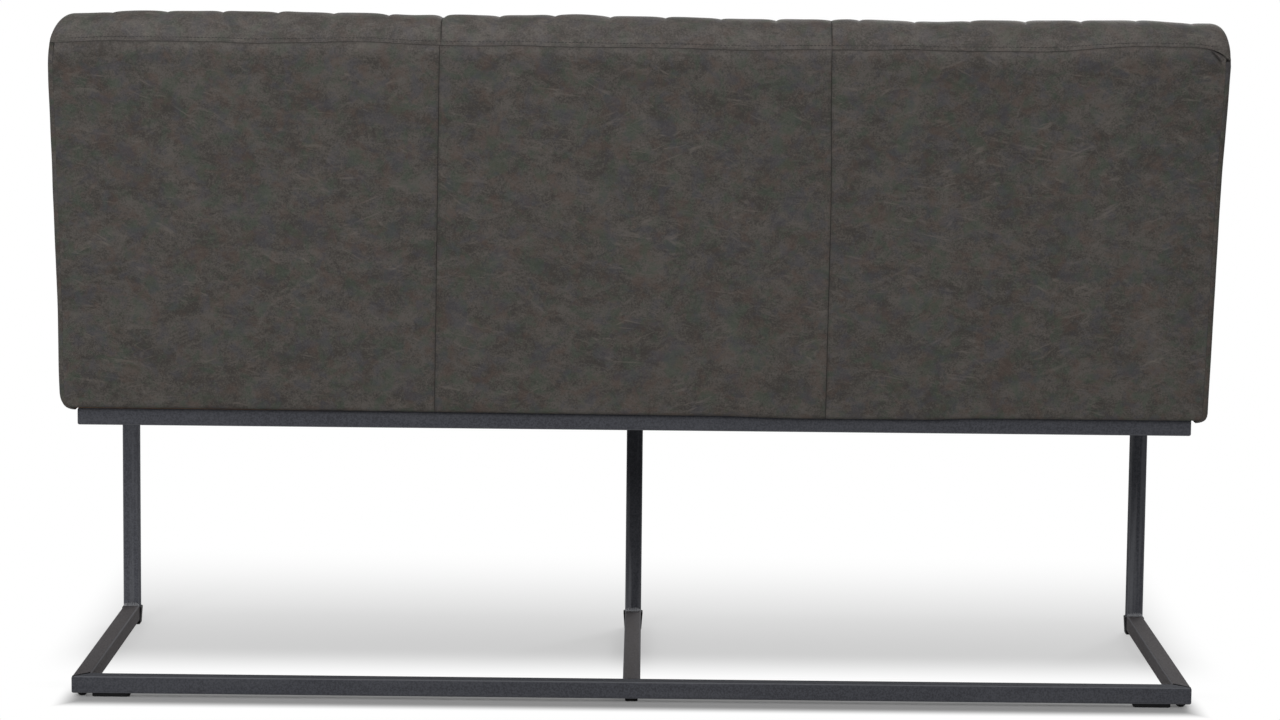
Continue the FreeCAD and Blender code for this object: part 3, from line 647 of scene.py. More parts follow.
def strip_notches(size, x):
    """Dips of the strip's top where the stitched lines draw it down, and one more at its right seam.

    Each is a sharp V, and those at the lines fade faster to the left than to the right.
    """
    lines = stitched_lines(size)[1:-1]
    deep = size.notch * np.random.default_rng(3).uniform(0.6, 1.2, len(lines))
    total = np.zeros_like(x)
    for line, depth in zip(lines, deep):
        reach = np.where(x > line, NOTCH_RIGHT, NOTCH_LEFT)
        total = np.maximum(total, depth * crease_at(np.abs(x - line), reach))
    return total + size.notch * crease_at(np.abs(x - STRIP_SEAMS[1]), NOTCH_LEFT)


def strip_cover(size, name, across, cut):
    """One length of the band over the top edge: its section is drawn along X, lower towards the corners.

    Heights above the seam are multiplied by the top edge's share, and the rear edge rounds off at an end.
    """
    run = strip_run(size)
    front_roll = size.seam_roll * 1.2
    low_x, high_x = across.min() + INSET, across.max() - INSET
    beside = (stitched_lines(size)[:, None] + NOTCH_COLUMNS).ravel()
    beside = beside[(beside > low_x) & (beside < high_x)]
    along = places(run.span, STRIP_GRID, size.seam_roll, front_roll)
    x, g = np.meshgrid(merged(across, beside), along)
    y, z, normal_y, normal_z = run.at(g)
    t = g / run.span
    depth = deepest((g, size.seam_roll), (run.span - g, front_roll))
    # Painted shade in the long seam and in the strip's own seams.
    painted_shade = crease_at(g) * seam_shows(x)
    for seam in STRIP_SEAMS:
        aside = np.abs(x - seam)
        depth = np.maximum(depth, roll_in(aside, size.fine_roll))
        painted_shade = np.maximum(painted_shade, 0.9 * crease_at(aside) * smoothstep(0.004, 0.010, g))
    depth = depth + strip_notches(size, x) * smoothstep(0.40, 0.80, t)
    inside = smoothstep(0, 0.012, np.minimum(g, run.span - g))
    proud = UNEVEN * inside * waves(x, g, 0.09, cut) - depth
    y = y - proud * normal_y
    z = z - proud * normal_z
    seam = seam_height(x)
    share = top_share(size, x, seam)
    rear = 1 - smoothstep(0.0, 0.6, t)
    y = y + size.lean * (seam - SEAM) * rear
    y = y - roll_in(HALF - np.abs(x), size.edge_roll) * rear
    height = seam + share * (z - SEAM + size.strip_lift * smoothstep(0.2, 0.7, t))
    low_y = rear_y(size, SEAM) - size.cover
    inner_x = np.clip(x, max(low_x, 0.02 - HALF), min(high_x, HALF - 0.02))
    inner = stack(inner_x, low_y + t * (STRIP_FRONT + 0.002 - low_y), SEAM - 0.010 + t * 0.02 * share)
    x = x + np.sign(x) * side_out(SEAM, x) * smoothstep(HALF - 0.05, HALF, np.abs(x))
    # Paler towards the long seam and most of all at it: rubbed, and painted light on the strip.
    rub_and_light = 0.55 + 0.45 * smoothstep(0.70, 0.20, t) + 0.6 * smoothstep(0.005, 0.002, g)
    return closed_pad(name, stack(x, y, height), inner, "strip_leather", cut, painted_shade, rub_and_light)


def side_run(size, front):
    """Section of a side cover, reach against depth: round the rear edge, forward, and in at the quilt."""
    radius = size.edge_roll
    return Run(
        straight((HALF - size.side_wrap, 0), (HALF - radius, 0), 4),
        arc((HALF - radius, radius), radius, -math.pi / 2, 0, 30),
        straight((HALF, radius), (HALF, front - radius), 30),
        arc((HALF - radius, front - radius), radius, 0, math.pi / 2, 30),
    )


# Rise of a side cover's top in front of the strip, and how much lower its foot hangs inside.
SIDE_BUMP, SIDE_HANG = 0.011, 0.003


def back_side_cover(size, name, side, cut):
    """Side of the back: its section stands on the leaning plane and follows the side's swell and the hem.

    Its top edge follows the end of the strip, a quarter ellipse from the long seam up to the top edge, and
    rises further where the channels round off in front of the strip.
    """
    run = side_run(size, size.back_padding + 0.010)
    along = places(run.span, REAR_GRID, size.side_roll, size.seam_roll)
    rise = SEAM - FRAME_TOP
    g, v = np.meshgrid(along, places(rise, QUILT_GRID, size.edge_roll, size.seam_roll) / rise)
    reach, depth, normal_r, normal_d = run.at(g)
    end = np.array(side * HALF)
    seam = seam_height(end)
    before = 1 - np.clip((depth - 0.005) / (STRIP_TOP - SEAM), 0, 1)
    top = seam + (STRIP_TOP - top_drop(size, end) - seam) * np.sqrt(1 - before ** 2)
    strip_depth = rear_y(size, SEAM) - STRIP_FRONT
    bump = smoothstep(strip_depth - 0.002, strip_depth + 0.004, depth) * smoothstep(0.079, 0.064, depth)
    top = top + SIDE_BUMP * bump
    h = v * (top - FRAME_TOP)
    height = FRAME_TOP + h
    drop = deepest(
        (g, size.side_roll),
        (h, size.edge_roll),
        (run.span - g, size.seam_roll),
        (top - height, size.seam_roll),
    )
    fade = smoothstep(0, SWELL_IN, np.minimum.reduce([g, run.span - g, h, top - height]))
    proud = BACK_SIDE_SWELL * fade + UNEVEN * fade * waves(depth, height, 0.08, cut) - drop
    reach = reach - normal_r * proud - hem_drop(size, height, side) + side_out(height, side)
    depth = depth - normal_d * proud
    sunk = (hang(end) + SIDE_HANG * smoothstep(0.004, 0.012, depth)) * (1 - v)
    outer = stack(side * reach, rear_y(size, height) - depth, height - sunk)
    level = np.clip(height, FRAME_TOP + INSET, top - 4 * INSET)
    inset = np.clip(depth, size.cover + INSET, size.back_padding - 2 * INSET)
    inner = stack(np.full_like(g, side * (QUILT_HALF - QUILT_LAP)), rear_y(size, level) - inset, level)
    # Painted shade along the top and front seams.
    painted_shade = np.maximum(crease_at(top - height), crease_at(run.span - g))
    return closed_pad(name, outer, inner, "leather", cut, painted_shade)


# Channel-sewn covers of the back and the seat

# How far the hidden inner loop of a quilted cover keeps from its ends.
QUILT_INSET = 0.012


def stitched_lines(size):
    """Stitched lines from left to right; those of the left third are half a channel further over."""
    pitch = 2 * QUILT_HALF / size.channels
    third = size.channels // 3
    left = -QUILT_HALF + pitch * (np.arange(third) + 0.5)
    rest = -QUILT_HALF + pitch * np.arange(third, size.channels)
    return np.concatenate([[-QUILT_HALF - QUILT_LAP], left, rest, [QUILT_HALF + QUILT_LAP]])


# Columns of a channel, as shares of its width.
CHANNEL_STEPS = np.array([
    0, 0.012, 0.035, 0.07, 0.12, 0.2, 0.31, 0.44, 0.56, 0.69, 0.8, 0.88, 0.93, 0.965, 0.988,
])


def channel_columns(lines):
    """Columns across all channels, closer together beside each stitched line."""
    spans = np.diff(lines)[:, None]
    inner = (lines[:-1, None] + spans * CHANNEL_STEPS).ravel()
    return np.concatenate([inner, lines[-1:]])


def channel_swell(size, x, lines):
    """Swell of the channels: between two lines an arch (1 - (2s - 1)^2)^0.45, lower over a narrow one."""
    index = np.clip(np.searchsorted(lines, x, side="right") - 1, 0, len(lines) - 2)
    span = lines[index + 1] - lines[index]
    s = np.clip((x - lines[index]) / span, 0, 1)
    pitch = 2 * QUILT_HALF / size.channels
    arch = np.maximum(1 - (2 * s - 1) ** 2, 0) ** 0.45
    return size.channel_rise * np.minimum(span / pitch, 1.1) * arch, np.minimum(s, 1 - s) * span


# Height and length of the puckers beside a stitched line, and how far from it they fade.
PUCKER, PUCKER_LENGTH, PUCKER_FADE = 0.0006, 0.0125, 0.009


def quilt_points(size, run, along, rolls, seed):
    """Grid of a channel-sewn cover: the run drawn along X, lifted along its normal by base and swell.

    The lift ends as a quarter ellipse at the four borders. Rolls are the width of that ellipse and the
    share of the lift that stays at the border, at the run's start and at its end. Puckers are short waves
    along the stitched lines that die away within some millimetres of them.
    """
    lines = stitched_lines(size)
    x, g = np.meshgrid(channel_columns(lines), along)
    y, z, normal_y, normal_z = run.at(g)
    swell, from_line = channel_swell(size, x, lines)
    pucker = np.sin(2 * math.pi * g / PUCKER_LENGTH + 9 * waves(x, g, 0.05, seed))
    pucker *= PUCKER * crease_at(from_line, PUCKER_FADE) * smoothstep(0, 0.003, from_line)
    swell = swell * (1 + 0.07 * waves(x, g, 0.11, seed + 1)) + pucker
    lift = size.channel_base + swell
    for distance, radius, keep in (
        (lines[-1] - np.abs(x), 0.013, 0.0),
        (g, rolls[0], rolls[1]),
        (run.span - g, rolls[2], rolls[3]),
    ):
        t = np.clip(1 - distance / radius, 0, 1)
        lift = lift * (keep + (1 - keep) * np.sqrt(1 - t * t))
    # Nearness to a stitched line: the cloth is held there, and it sets the painted shade along the line.
    stitched = crease_at(from_line, 0.0016)
    return x, g, y + lift * normal_y, z + lift * normal_z, stitched


def back_run(size):
    """Under the quilt of the back: up the foam's leaning front and round to the top."""
    cosine, sine = lean_way(size)
    radius = size.quilt_round
    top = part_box("back_quilt")[1].z - 0.001 - size.channel_base - size.channel_rise
    turn_z = top - radius * (1 - sine)
    turn_y = rear_y(size, turn_z) - size.back_padding
    low = BOARD_TOP + 0.010
    lean = math.atan(size.lean)
    centre = (turn_y + radius * cosine, turn_z - radius * sine)
    return Run(
        straight((rear_y(size, low) - size.back_padding, low), (turn_y, turn_z), 160),
        arc(centre, radius, math.pi - lean, math.pi / 2),
    )


def back_quilt_points(size, x, z):
    """Heights of a quilt, with what lies above the long seam brought down towards the corners."""
    return z - np.maximum(z - SEAM, 0) * (1 - top_share(size, x, SEAM))


def quilt_pad(size, name, grid, inner_y, inner_z, stitched, cut):
    """Close a quilted cover on an inner loop and let it swell between its stitched lines."""
    inside = np.clip(grid[..., 0], -QUILT_HALF + QUILT_INSET, QUILT_HALF - QUILT_INSET)
    inner = stack(inside, inner_y, inner_z)
    # Painted shade along the stitched lines, and paler leather over the channels between them.
    piece = closed_pad(name, grid, inner, "leather", cut, stitched, 0.35 * (1 - stitched))
    settle(piece, stitched < 0.9, size.swell_cap)
    return piece


# From the rear face of the back to the front of its timber.
TIMBER_FRONT = 0.045


def back_quilt(size, name, cut):
    """Front of the back with its foam, closed behind on the plane of the timber."""
    run = back_run(size)
    along = places(run.span, QUILT_GRID, 0.012, size.seam_roll)
    x, g, y, z, stitched = quilt_points(size, run, along, (0.016, 0.1, size.seam_roll * 2, 0.55), cut)
    grid = stack(x, y, back_quilt_points(size, x, z))
    level = np.clip(run.at(g)[1], BOARD_TOP + 0.012, SEAM - 0.006)
    return quilt_pad(size, name, grid, rear_y(size, level) - TIMBER_FRONT, level, stitched, cut)


def seat_run(size):
    """Under the quilt of the seat: up the front, round the nose and back over the crown."""
    middle = (SEAT_REAR + FOAM_FRONT) / 2
    centre = (middle, FOAM_TOP - size.seat_crown)
    nose_y = FOAM_FRONT + size.nose_round
    reach = size.seat_crown - size.nose_round
    nose_z = centre[1] + math.sqrt(reach ** 2 - (nose_y - middle) ** 2)
    meet = math.atan2(nose_z - centre[1], nose_y - middle)
    rear = math.acos((SEAT_REAR - middle) / size.seat_crown)
    return Run(
        straight((FOAM_FRONT, BOARD_BOTTOM), (FOAM_FRONT, nose_z), 30),
        arc((nose_y, nose_z), size.nose_round, math.pi, meet),
        arc(centre, size.seat_crown, meet, rear, 120),
    )


def seat_quilt(size, name, cut):
    """Top and front of the seat with its foam, closed below on the seat board."""
    run = seat_run(size)
    along = places(run.span, QUILT_GRID, 0.006, 0.014)
    x, g, y, z, stitched = quilt_points(size, run, along, (0.009, 0.35, 0.020, 0.1), cut)
    inner_y = FOAM_FRONT + 0.004 + g / run.span * (SEAT_REAR - 0.03 - FOAM_FRONT)
    inner_z = BOARD_BOTTOM + INSET + (BOARD_TOP + INSET - BOARD_BOTTOM) * smoothstep(0, 0.03, g)
    return quilt_pad(size, name, stack(x, y, z), inner_y, inner_z, stitched, cut)


# Frames that a cover takes to swell, the pressure in it, and the share by which its cloth is longer.
SWELL_FRAMES, SWELL_PRESSURE, SWELL_SLACK = 8, 4.0, 0.03


def settle(piece, free, cap):
    """Swell a closed cover as cloth under pressure.

    Points that aren't free, and the border and inner loop, are held where they are stitched. The cloth is
    a little longer than its channels, so that it puckers, and no point moves further than the cap.
    """
    scene, mesh = bpy.context.scene, piece.data
    loose = free.copy()
    loose[[0, -1], :] = False
    loose[:, [0, -1]] = False
    held = np.ones(len(mesh.vertices), bool)
    held[: loose.size] = ~loose.ravel()
    before = np.empty(3 * len(held), np.float32)
    mesh.vertices.foreach_get("co", before)
    group = piece.vertex_groups.new(name="stitched")
    group.add(np.flatnonzero(held).tolist(), 1.0, "REPLACE")
    cloth = piece.modifiers.new("swell", "CLOTH")
    cloth.settings.vertex_group_mass = group.name
    cloth.settings.quality = 3
    cloth.settings.use_pressure = True
    cloth.settings.uniform_pressure_force = SWELL_PRESSURE
    cloth.settings.shrink_min = -SWELL_SLACK
    cloth.settings.effector_weights.gravity = 0.0
    cloth.point_cache.frame_start, cloth.point_cache.frame_end = 1, SWELL_FRAMES
    for number in range(1, SWELL_FRAMES + 1):
        scene.frame_set(number)
    after = np.empty_like(before)
    swollen = piece.evaluated_get(bpy.context.evaluated_depsgraph_get())
    swollen.data.vertices.foreach_get("co", after)
    piece.modifiers.remove(cloth)
    piece.vertex_groups.remove(group)
    scene.frame_set(1)
    moved = (after - before).reshape(-1, 3)
    far = np.linalg.norm(moved, axis=1, keepdims=True)
    moved *= np.minimum(1, cap / np.maximum(far, 1e-9))
    mesh.vertices.foreach_set("co", before + moved.ravel())
    mesh.update()


def seat_side_cover(size, name, side, cut):
    """Side of the seat: points from a line along its bottom to the seat's run, rolled in all round."""
    run = seat_run(size)
    lift = size.channel_base - 0.002
    along = places(run.span, SEAT_SIDE_GRID, 0.004, 0.006)
    up = places(1.0, 0.05, 0.05, 0.06)
    g, v = np.meshgrid(along, up)
    y, z, normal_y, normal_z = run.at(g)
    top_y = y + lift * normal_y
    top_z = z + lift * normal_z
    t = g / run.span
    low_y = (FOAM_FRONT - lift) + t * (SEAT_REAR - 0.002 - FOAM_FRONT + lift)
    high_y = top_y + (SEAT_REAR - top_y[:1, -1:]) * t ** 8
    y = low_y + v * (high_y - low_y)
    z = BOARD_BOTTOM + v * (top_z - BOARD_BOTTOM)
    tall = np.hypot(high_y - low_y, top_z - BOARD_BOTTOM)
    from_top, from_low = (1 - v) * tall, v * tall
    drop = deepest(
        (from_top, size.edge_roll),
        (from_low, size.edge_roll),
        (run.span - g, size.edge_roll),
        (g, 0.004),
    )
    fade = smoothstep(0, SWELL_IN, np.minimum(from_top, from_low))
    proud = SEAT_SIDE_SWELL * fade + UNEVEN * fade * waves(y, z, 0.07, cut) - drop
    outer = stack(side * (HALF - 0.0022 + proud), y, z)
    inner_y = np.clip(y, FOAM_FRONT + 0.002, SEAT_REAR - 0.012)
    inner_z = np.clip(z, BOARD_BOTTOM + 0.002, None) - 0.004 * v
    inner = stack(np.full_like(y, side * (QUILT_HALF - QUILT_LAP)), inner_y, inner_z)
    # Painted shade where the cover rolls in at its edges.
    return closed_pad(name, outer, inner, "leather", cut, 0.5 * np.clip(drop / size.edge_roll, 0, 1) ** 2)


def channel_stitches(size, run, first, last):
    """Rows of thread down the stitched lines of a quilted cover, between two distances along its run."""
    lines = stitched_lines(size)[1:-1]
    along = np.arange(first, last, size.stitch_pitch)
    x, g = (grid.ravel() for grid in np.meshgrid(lines, along))
    y, z, normal_y, normal_z = run.at(g)
    lift = size.channel_base + THREAD_PROUD * size.thread
    height = back_quilt_points(size, x, z + lift * normal_z)
    places_at = stack(x, y + lift * normal_y, height)
    return stitches(size, places_at, stack(0.0, normal_z, -normal_y), stack(0.0, normal_y, normal_z))


def strip_stitches(size):
    """Row of thread along the strip, just above the long seam."""
    run = strip_run(size)
    x = np.arange(-HALF + 0.022, HALF - 0.030, size.stitch_pitch)
    y, z, normal_y, normal_z = run.at(np.full_like(x, size.topstitch))
    seam = seam_height(x)
    rise = np.gradient(seam, x)
    y = y + size.lean * (seam - SEAM) + THREAD_PROUD * size.thread
    ways = stack(1.0, size.lean * rise, rise)
    ways /= np.linalg.norm(ways, axis=1, keepdims=True)
    places_at = stack(x, y, seam + top_share(size, x, seam) * (z - SEAM))
    return stitches(size, places_at, ways, stack(0.0, -normal_y, -normal_z))


# Welds

# From one ripple of a weld to the next.
RIPPLE = 0.0032

# Half the length of a weld at the foot of a leg, and half the thickness of one over a mitre.
FOOT_WELD = 0.0112
MITRE_WELD = 0.0014


def weld_bead(start, end, radius, seed):
    """A round bead of weld from start to end, whose radius ripples and tapers at the ends."""
    t = np.linspace(0, 1, 60)
    start, end = np.array(start), np.array(end)
    span = np.linalg.norm(end - start)
    ripple = 1 + 0.10 * np.sin(2 * math.pi * t * span / RIPPLE) + 0.06 * waves(t * span, 0, 0.006, seed)
    taper = np.minimum(1, np.sqrt(np.minimum(t, 1 - t) * span / radius + 0.02))
    return tube_along(start + t[:, None] * (end - start), radius * ripple * taper, 10)


def join(parts):
    """Several meshes as one: points added up, faces counted on."""
    points, faces, first = [], [], 0
    for corners, polygons in parts:
        points.append(corners)
        faces += [[first + k for k in polygon] for polygon in polygons]
        first += len(corners)
    return np.concatenate(points), faces


def foot_welds(size):
    """Fillets between the rear face of each leg and the top of its runner."""
    top = FLOOR_RAIL[1].z
    side = FLOOR_RAIL[1].x - TUBE / 2
    return join(
        weld_bead((x - FOOT_WELD, LEG_REAR, top), (x + FOOT_WELD, LEG_REAR, top), size.weld, seed)
        for seed, x in enumerate((-side, 0, side))
    )


def mitre_welds():
    """Thin lines of weld over the mitres of the floor frame's rear corners."""
    beads = []
    for side in (-1, 1):
        outer = (side * (FLOOR_RAIL[1].x - 0.0008), FLOOR_RAIL[1].y - 0.0008)
        inner = (side * (FLOOR_RAIL[1].x - TUBE + 0.001), FLOOR_RAIL[0].y + 0.001)
        top = FLOOR_RAIL[1].z - 0.0002
        beads.append(weld_bead((*outer, top - 0.0008), (*inner, top), MITRE_WELD, 11 + side))
    return join(beads)


# Finishes

def scaled(shade, share):
    """A colour made darker or paler by a share."""
    return tuple(share * part for part in shade)


class Wire:
    """A socket of a node tree. Arithmetic on it adds Math nodes, and node() adds any other node."""

    def __init__(self, tree, socket=None):
        self.tree = tree
        self.socket = socket

    def node(self, kind, output, settings, inputs):
        """Add a node: settings first, then the values or wires of its inputs. Gives one output."""
        node = self.tree.nodes.new(kind)
        for label, value in settings.items():
            setattr(node, label, value)
        for label, value in inputs.items():
            if isinstance(value, Wire):
                self.tree.links.new(value.socket, node.inputs[label])
            else:
                node.inputs[label].default_value = value
        return Wire(self.tree, node.outputs[output])

    def math(self, operation, *values):
        return self.node("ShaderNodeMath", 0, {"operation": operation}, dict(enumerate(values)))

    def most(self, *others):
        """The largest of this wire and others."""
        largest = self
        for other in others:
            largest = self.math("MAXIMUM", largest, other)
        return largest

    def __add__(self, other):
        return self.math("ADD", self, other)

    def __radd__(self, other):
        return self.math("ADD", other, self)

    def __sub__(self, other):
        return self.math("SUBTRACT", self, other)

    def __rsub__(self, other):
        return self.math("SUBTRACT", other, self)

    def __mul__(self, other):
        return self.math("MULTIPLY", self, other)

    def __rmul__(self, other):
        return self.math("MULTIPLY", other, self)

    def axes(self):
        """The X, Y and Z of this vector."""
        split = self.node("ShaderNodeSeparateXYZ", 0, {}, {0: self}).socket.node
        return [Wire(self.tree, socket) for socket in split.outputs]

    def step(self, low, high):
        """0 below low, 1 above high and a smooth rise between."""
        smooth = {"interpolation_type": "SMOOTHSTEP"}
        return self.node("ShaderNodeMapRange", 0, smooth, {0: self, 1: low, 2: high, 3: 0.0, 4: 1.0})

    def mix(self, first, second):
        """From the first colour to the second by this wire."""
        first, second = (shade if isinstance(shade, Wire) else (*shade, 1) for shade in (first, second))
        return self.node("ShaderNodeMix", 2, {"data_type": "RGBA"}, {0: self, 6: first, 7: second})

    def noise(self, scale, detail=3.0, roughness=0.5, distortion=0.0):
        """Noise read at this place."""
        inputs = {"Vector": self, "Scale": scale, "Detail": detail}
        inputs.update(Roughness=roughness, Distortion=distortion)
        return self.node("ShaderNodeTexNoise", 0, {}, inputs)

    def placed(self, scale, turn=(0, 0, 0)):
        """This place scaled along the three axes, then turned about them."""
        return self.node("ShaderNodeMapping", 0, {}, {"Vector": self, "Rotation": turn, "Scale": scale})


def new_finish(name):
    """A material with an empty tree; gives the material and a wire to add nodes by."""
    material = bpy.data.materials.new(name)
    material.use_nodes = True
    material.node_tree.nodes.clear()
    return material, Wire(material.node_tree)


def surface(wire, colour, roughness, bumps=(), settings=None):
    """Close a material with a Principled shader. Each bump is a height, a strength and a distance."""
    inputs = {"Base Color": colour if isinstance(colour, Wire) else (*colour, 1), "Roughness": roughness}
    for height, strength, distance in bumps:
        sockets = {"Height": height, "Strength": strength, "Distance": distance}
        if "Normal" in inputs:
            sockets["Normal"] = inputs["Normal"]
        inputs["Normal"] = wire.node("ShaderNodeBump", 0, {}, sockets)
    output(wire, wire.node("ShaderNodeBsdfPrincipled", 0, {}, {**inputs, **(settings or {})}))


def output(wire, shader):
    node = wire.tree.nodes.new("ShaderNodeOutputMaterial")
    wire.tree.links.new(shader.socket, node.inputs[0])


def object_place(wire):
    return wire.node("ShaderNodeTexCoord", "Object", {}, {})


def mark(wire, label):
    return wire.node("ShaderNodeAttribute", "Fac", {"attribute_name": label}, {})


# Rubbed streaks of the leather: turn about Y, scales along and across, and scale of the patches with them.
WISPS = (
    (0.50, 30.0, 150.0, 17.0),
    (-0.42, 26.0, 130.0, 13.0),
    (0.15, 22.0, 170.0, 19.0),
)


def leather_finish(name, shades):
    """Rubbed leather look: clouds of dark and pale, faint tints, pale wisps and a pebbled grain, with
    painted shade and painted light where the marks of each piece put them.
    """
    material, wire = new_finish(name)
    cut = mark(wire, "cut")
    shift = wire.node("ShaderNodeCombineXYZ", 0, {}, {0: cut * 0.713, 1: cut * 0.291, 2: cut * 0.457})
    place = wire.node("ShaderNodeVectorMath", 0, {"operation": "ADD"}, {0: object_place(wire), 1: shift})
    cloud = place.placed((0.75, 1, 1.1)).noise(27.0, 6.0, 0.86, 0.4)
    speck = place.noise(430.0, 2.0, 0.7)
    tone = cloud * 0.66 + speck * 0.34
    tone_share = tone.step(0.39, 0.61)
    body = tone_share.mix(shades.leather_dark, shades.leather_pale)
    tints = (0.4, shades.leather_red), (1.9, shades.leather_green), (3.1, shades.leather_blue)
    for turn, tint in tints:
        patch = place.placed((1, 1, 1), (turn, turn * 1.7, turn * 0.6)).noise(44.0, 3.0, 0.6, 0.4)
        body = (patch.step(0.48, 0.68) * 0.45).mix(body, tint)
    streaks = []
    for turn, along, across, sparse in WISPS:
        streak = place.placed((1, 1, 1), (0, turn, 0)).placed((along, across, across))
        soft = streak.noise(1.0, 3.0, 0.6, 0.7).step(0.56, 0.74)
        streaks.append(soft * place.noise(sparse, 2.0, 0.5).step(0.44, 0.66))
    wisps = sum(streaks[1:], streaks[0])
    body = (wisps * 0.46).mix(body, shades.leather_wisp)
    # Rubbed and painted light: a paler leather, cloudy as the body, mixed in by the mark of each point.
    rubbed = tone_share.mix(scaled(shades.leather_rub_and_light, 0.7), scaled(shades.leather_rub_and_light, 1.3))
    body = (mark(wire, "rub_and_light") * 0.30).mix(body, rubbed)
    # Painted shade: towards the thread's colour in seams, folds, stitched lines, rolled edges and hidden
    # faces.
    body = (mark(wire, "painted_shade") * 0.90).mix(body, shades.thread)
    pebbles = {"Vector": place, "Scale": 560.0, "Smoothness": 0.5}
    pebble = wire.node("ShaderNodeTexVoronoi", 0, {"feature": "SMOOTH_F1"}, pebbles)
    bumps = ((cloud, 0.10, 0.002), (pebble, 0.35, 0.0005), (speck, 0.20, 0.0006))
    rough = 0.70 - wisps * 0.05 + tone * 0.10
    surface(wire, body, rough, bumps, {"Specular IOR Level": 0.12})
    return material


def tube_finish(name, shades, shade, along, streaks, rough=0.74, gloss=0.04):
    """Powder coat with a fine speckle and orange peel, lengthwise streaks and paler edges. The paler edges
    are rubbed and carry a painted highlight; the strong streaks of the upright tubes are partly painted
    reflection.

    Along gives the scales of the streaks. An edge is where the surface faces between two axes, so the
    largest part of its normal is well below 1.
    """
    material, wire = new_finish(name)
    place = object_place(wire)
    peel = place.noise(900.0, 2.0, 0.5)
    speckle = place.noise(430.0, 3.0, 0.7)
    streak = place.placed(along).noise(1.0, 3.0, 0.5)
    facing = wire.node("ShaderNodeNewGeometry", "Normal", {}, {})
    across, deep, up = (wire.math("ABSOLUTE", part) for part in facing.axes())
    edge = (1 - across.most(deep, up)).step(0.04, 0.16)
    body = speckle.step(0.36, 0.64).mix(scaled(shade, 0.78), scaled(shade, 1.22))
    # Paler lengthwise streaks; strong on the upright tubes, where they stand partly for painted
    # reflections.
    body = (streak.step(0.46, 0.66) * streaks).mix(body, shades.tube_rub_and_highlight)
    # Painted highlight and rubbed coat: paler where the surface turns round a rounded edge and over the
    # welds.
    body = (edge * 0.55).mix(body, shades.tube_rub_and_highlight)
    bumps = ((peel, 0.12, 0.0004), (speckle, 0.10, 0.0005))
    surface(wire, body, rough + streak * 0.12, bumps, {"Specular IOR Level": gloss})
    return material


def plain_finish(name, shade, rough, grain, bump, metal=0.0, gloss=0.5):
    """A moulded, pressed or plated surface: one colour, cloudy by a little, with a fine grain."""
    material, wire = new_finish(name)
    place = object_place(wire)
    fine = place.noise(grain, 3.0, 0.6)
    cloud = place.noise(grain / 14, 2.0, 0.5)
    body = cloud.step(0.3, 0.7).mix(scaled(shade, 0.72), shade)
    settings = {"Metallic": metal, "Specular IOR Level": gloss}
    surface(wire, body, rough + 0.16 * cloud, ((fine, 0.2, bump),), settings)
    return material


def wood_finish(name, shade, stretch):
    """Timber: grain drawn out along X, with darker late-wood lines and fine pores."""
    material, wire = new_finish(name)
    place = object_place(wire).placed(stretch)
    figure = place.noise(1.0, 4.0, 0.6, 1.2)
    lines = wire.math("SINE", figure * 46.0).step(-0.4, 1.0)
    pores = place.placed((3, 9, 9)).noise(3.0, 3.0, 0.6)
    body = (lines * 0.45 + pores * 0.25).mix(shade, scaled(shade, 0.55))
    surface(wire, body, 0.62 + 0.1 * pores, ((pores, 0.25, 0.0005),))
    return material


def cloth_finish(name, shade):
    """Thin woven or spun cloth: crossed threads by two waves."""
    material, wire = new_finish(name)
    place = object_place(wire)
    threads = {"Vector": place, "Scale": 320.0, "Distortion": 1.5}
    warp, weft = (wire.node("ShaderNodeTexWave", 1, {"bands_direction": axis}, threads) for axis in "XY")
    weave = warp * 0.5 + weft * 0.5
    body = weave.mix(scaled(shade, 0.6), shade)
    surface(wire, body, 0.9 - 0.1 * weave, ((weave, 0.4, 0.0004),))
    return material


def paint(piece, material):
    piece.data.materials.clear()
    piece.data.materials.append(material)


def nodes_of(slot):
    """Names of all CAD parts of a slot."""
    return [part["node"] for part in frame["record"]["subparts"] if part["material_slot"] == slot]


def dress(context, piece, fill, *nodes):
    """Put a padded cover of leather in the place of CAD parts. The first one makes the leather."""
    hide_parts(*nodes)
    name = "rubbed_leather_painted_shade_and_light"
    paint(piece, bpy.data.materials.get(name) or leather_finish(name, context.scene.bench_finishes))


# Stage

def background_rays(wire):
    """1 for rays that show the background: to the camera, by gloss and through glass."""
    path = wire.tree.nodes.new("ShaderNodeLightPath")
    labels = ("Is Camera Ray", "Is Glossy Ray", "Is Transmission Ray")
    camera, gloss, glass = (Wire(wire.tree, path.outputs[label]) for label in labels)
    return camera.most(gloss, glass)


def make_world(stage):
    """Even light from all round, with plain white for the background."""
    world = bpy.data.worlds.new("studio")
    world.use_nodes = True
    world.node_tree.nodes.clear()
    wire = Wire(world.node_tree)
    strength = wire.node("ShaderNodeMapRange", 0, {}, {0: background_rays(wire), 3: stage.sky, 4: 1.0})
    light = wire.node("ShaderNodeBackground", 0, {}, {0: (1, 1, 1, 1), 1: strength})
    node = world.node_tree.nodes.new("ShaderNodeOutputWorld")
    world.node_tree.links.new(light.socket, node.inputs[0])
    bpy.context.scene.world = world


# Where the shadow on the floor fades: beside the bench, beside its rear rail, before it and behind it.
SHADOW_BESIDE, SHADOW_AT_RAIL = (0.70, 0.84), (0.735, 0.772)
SHADOW_BEFORE, SHADOW_BEHIND = (0.10, 0.95), (0.280, 0.325)


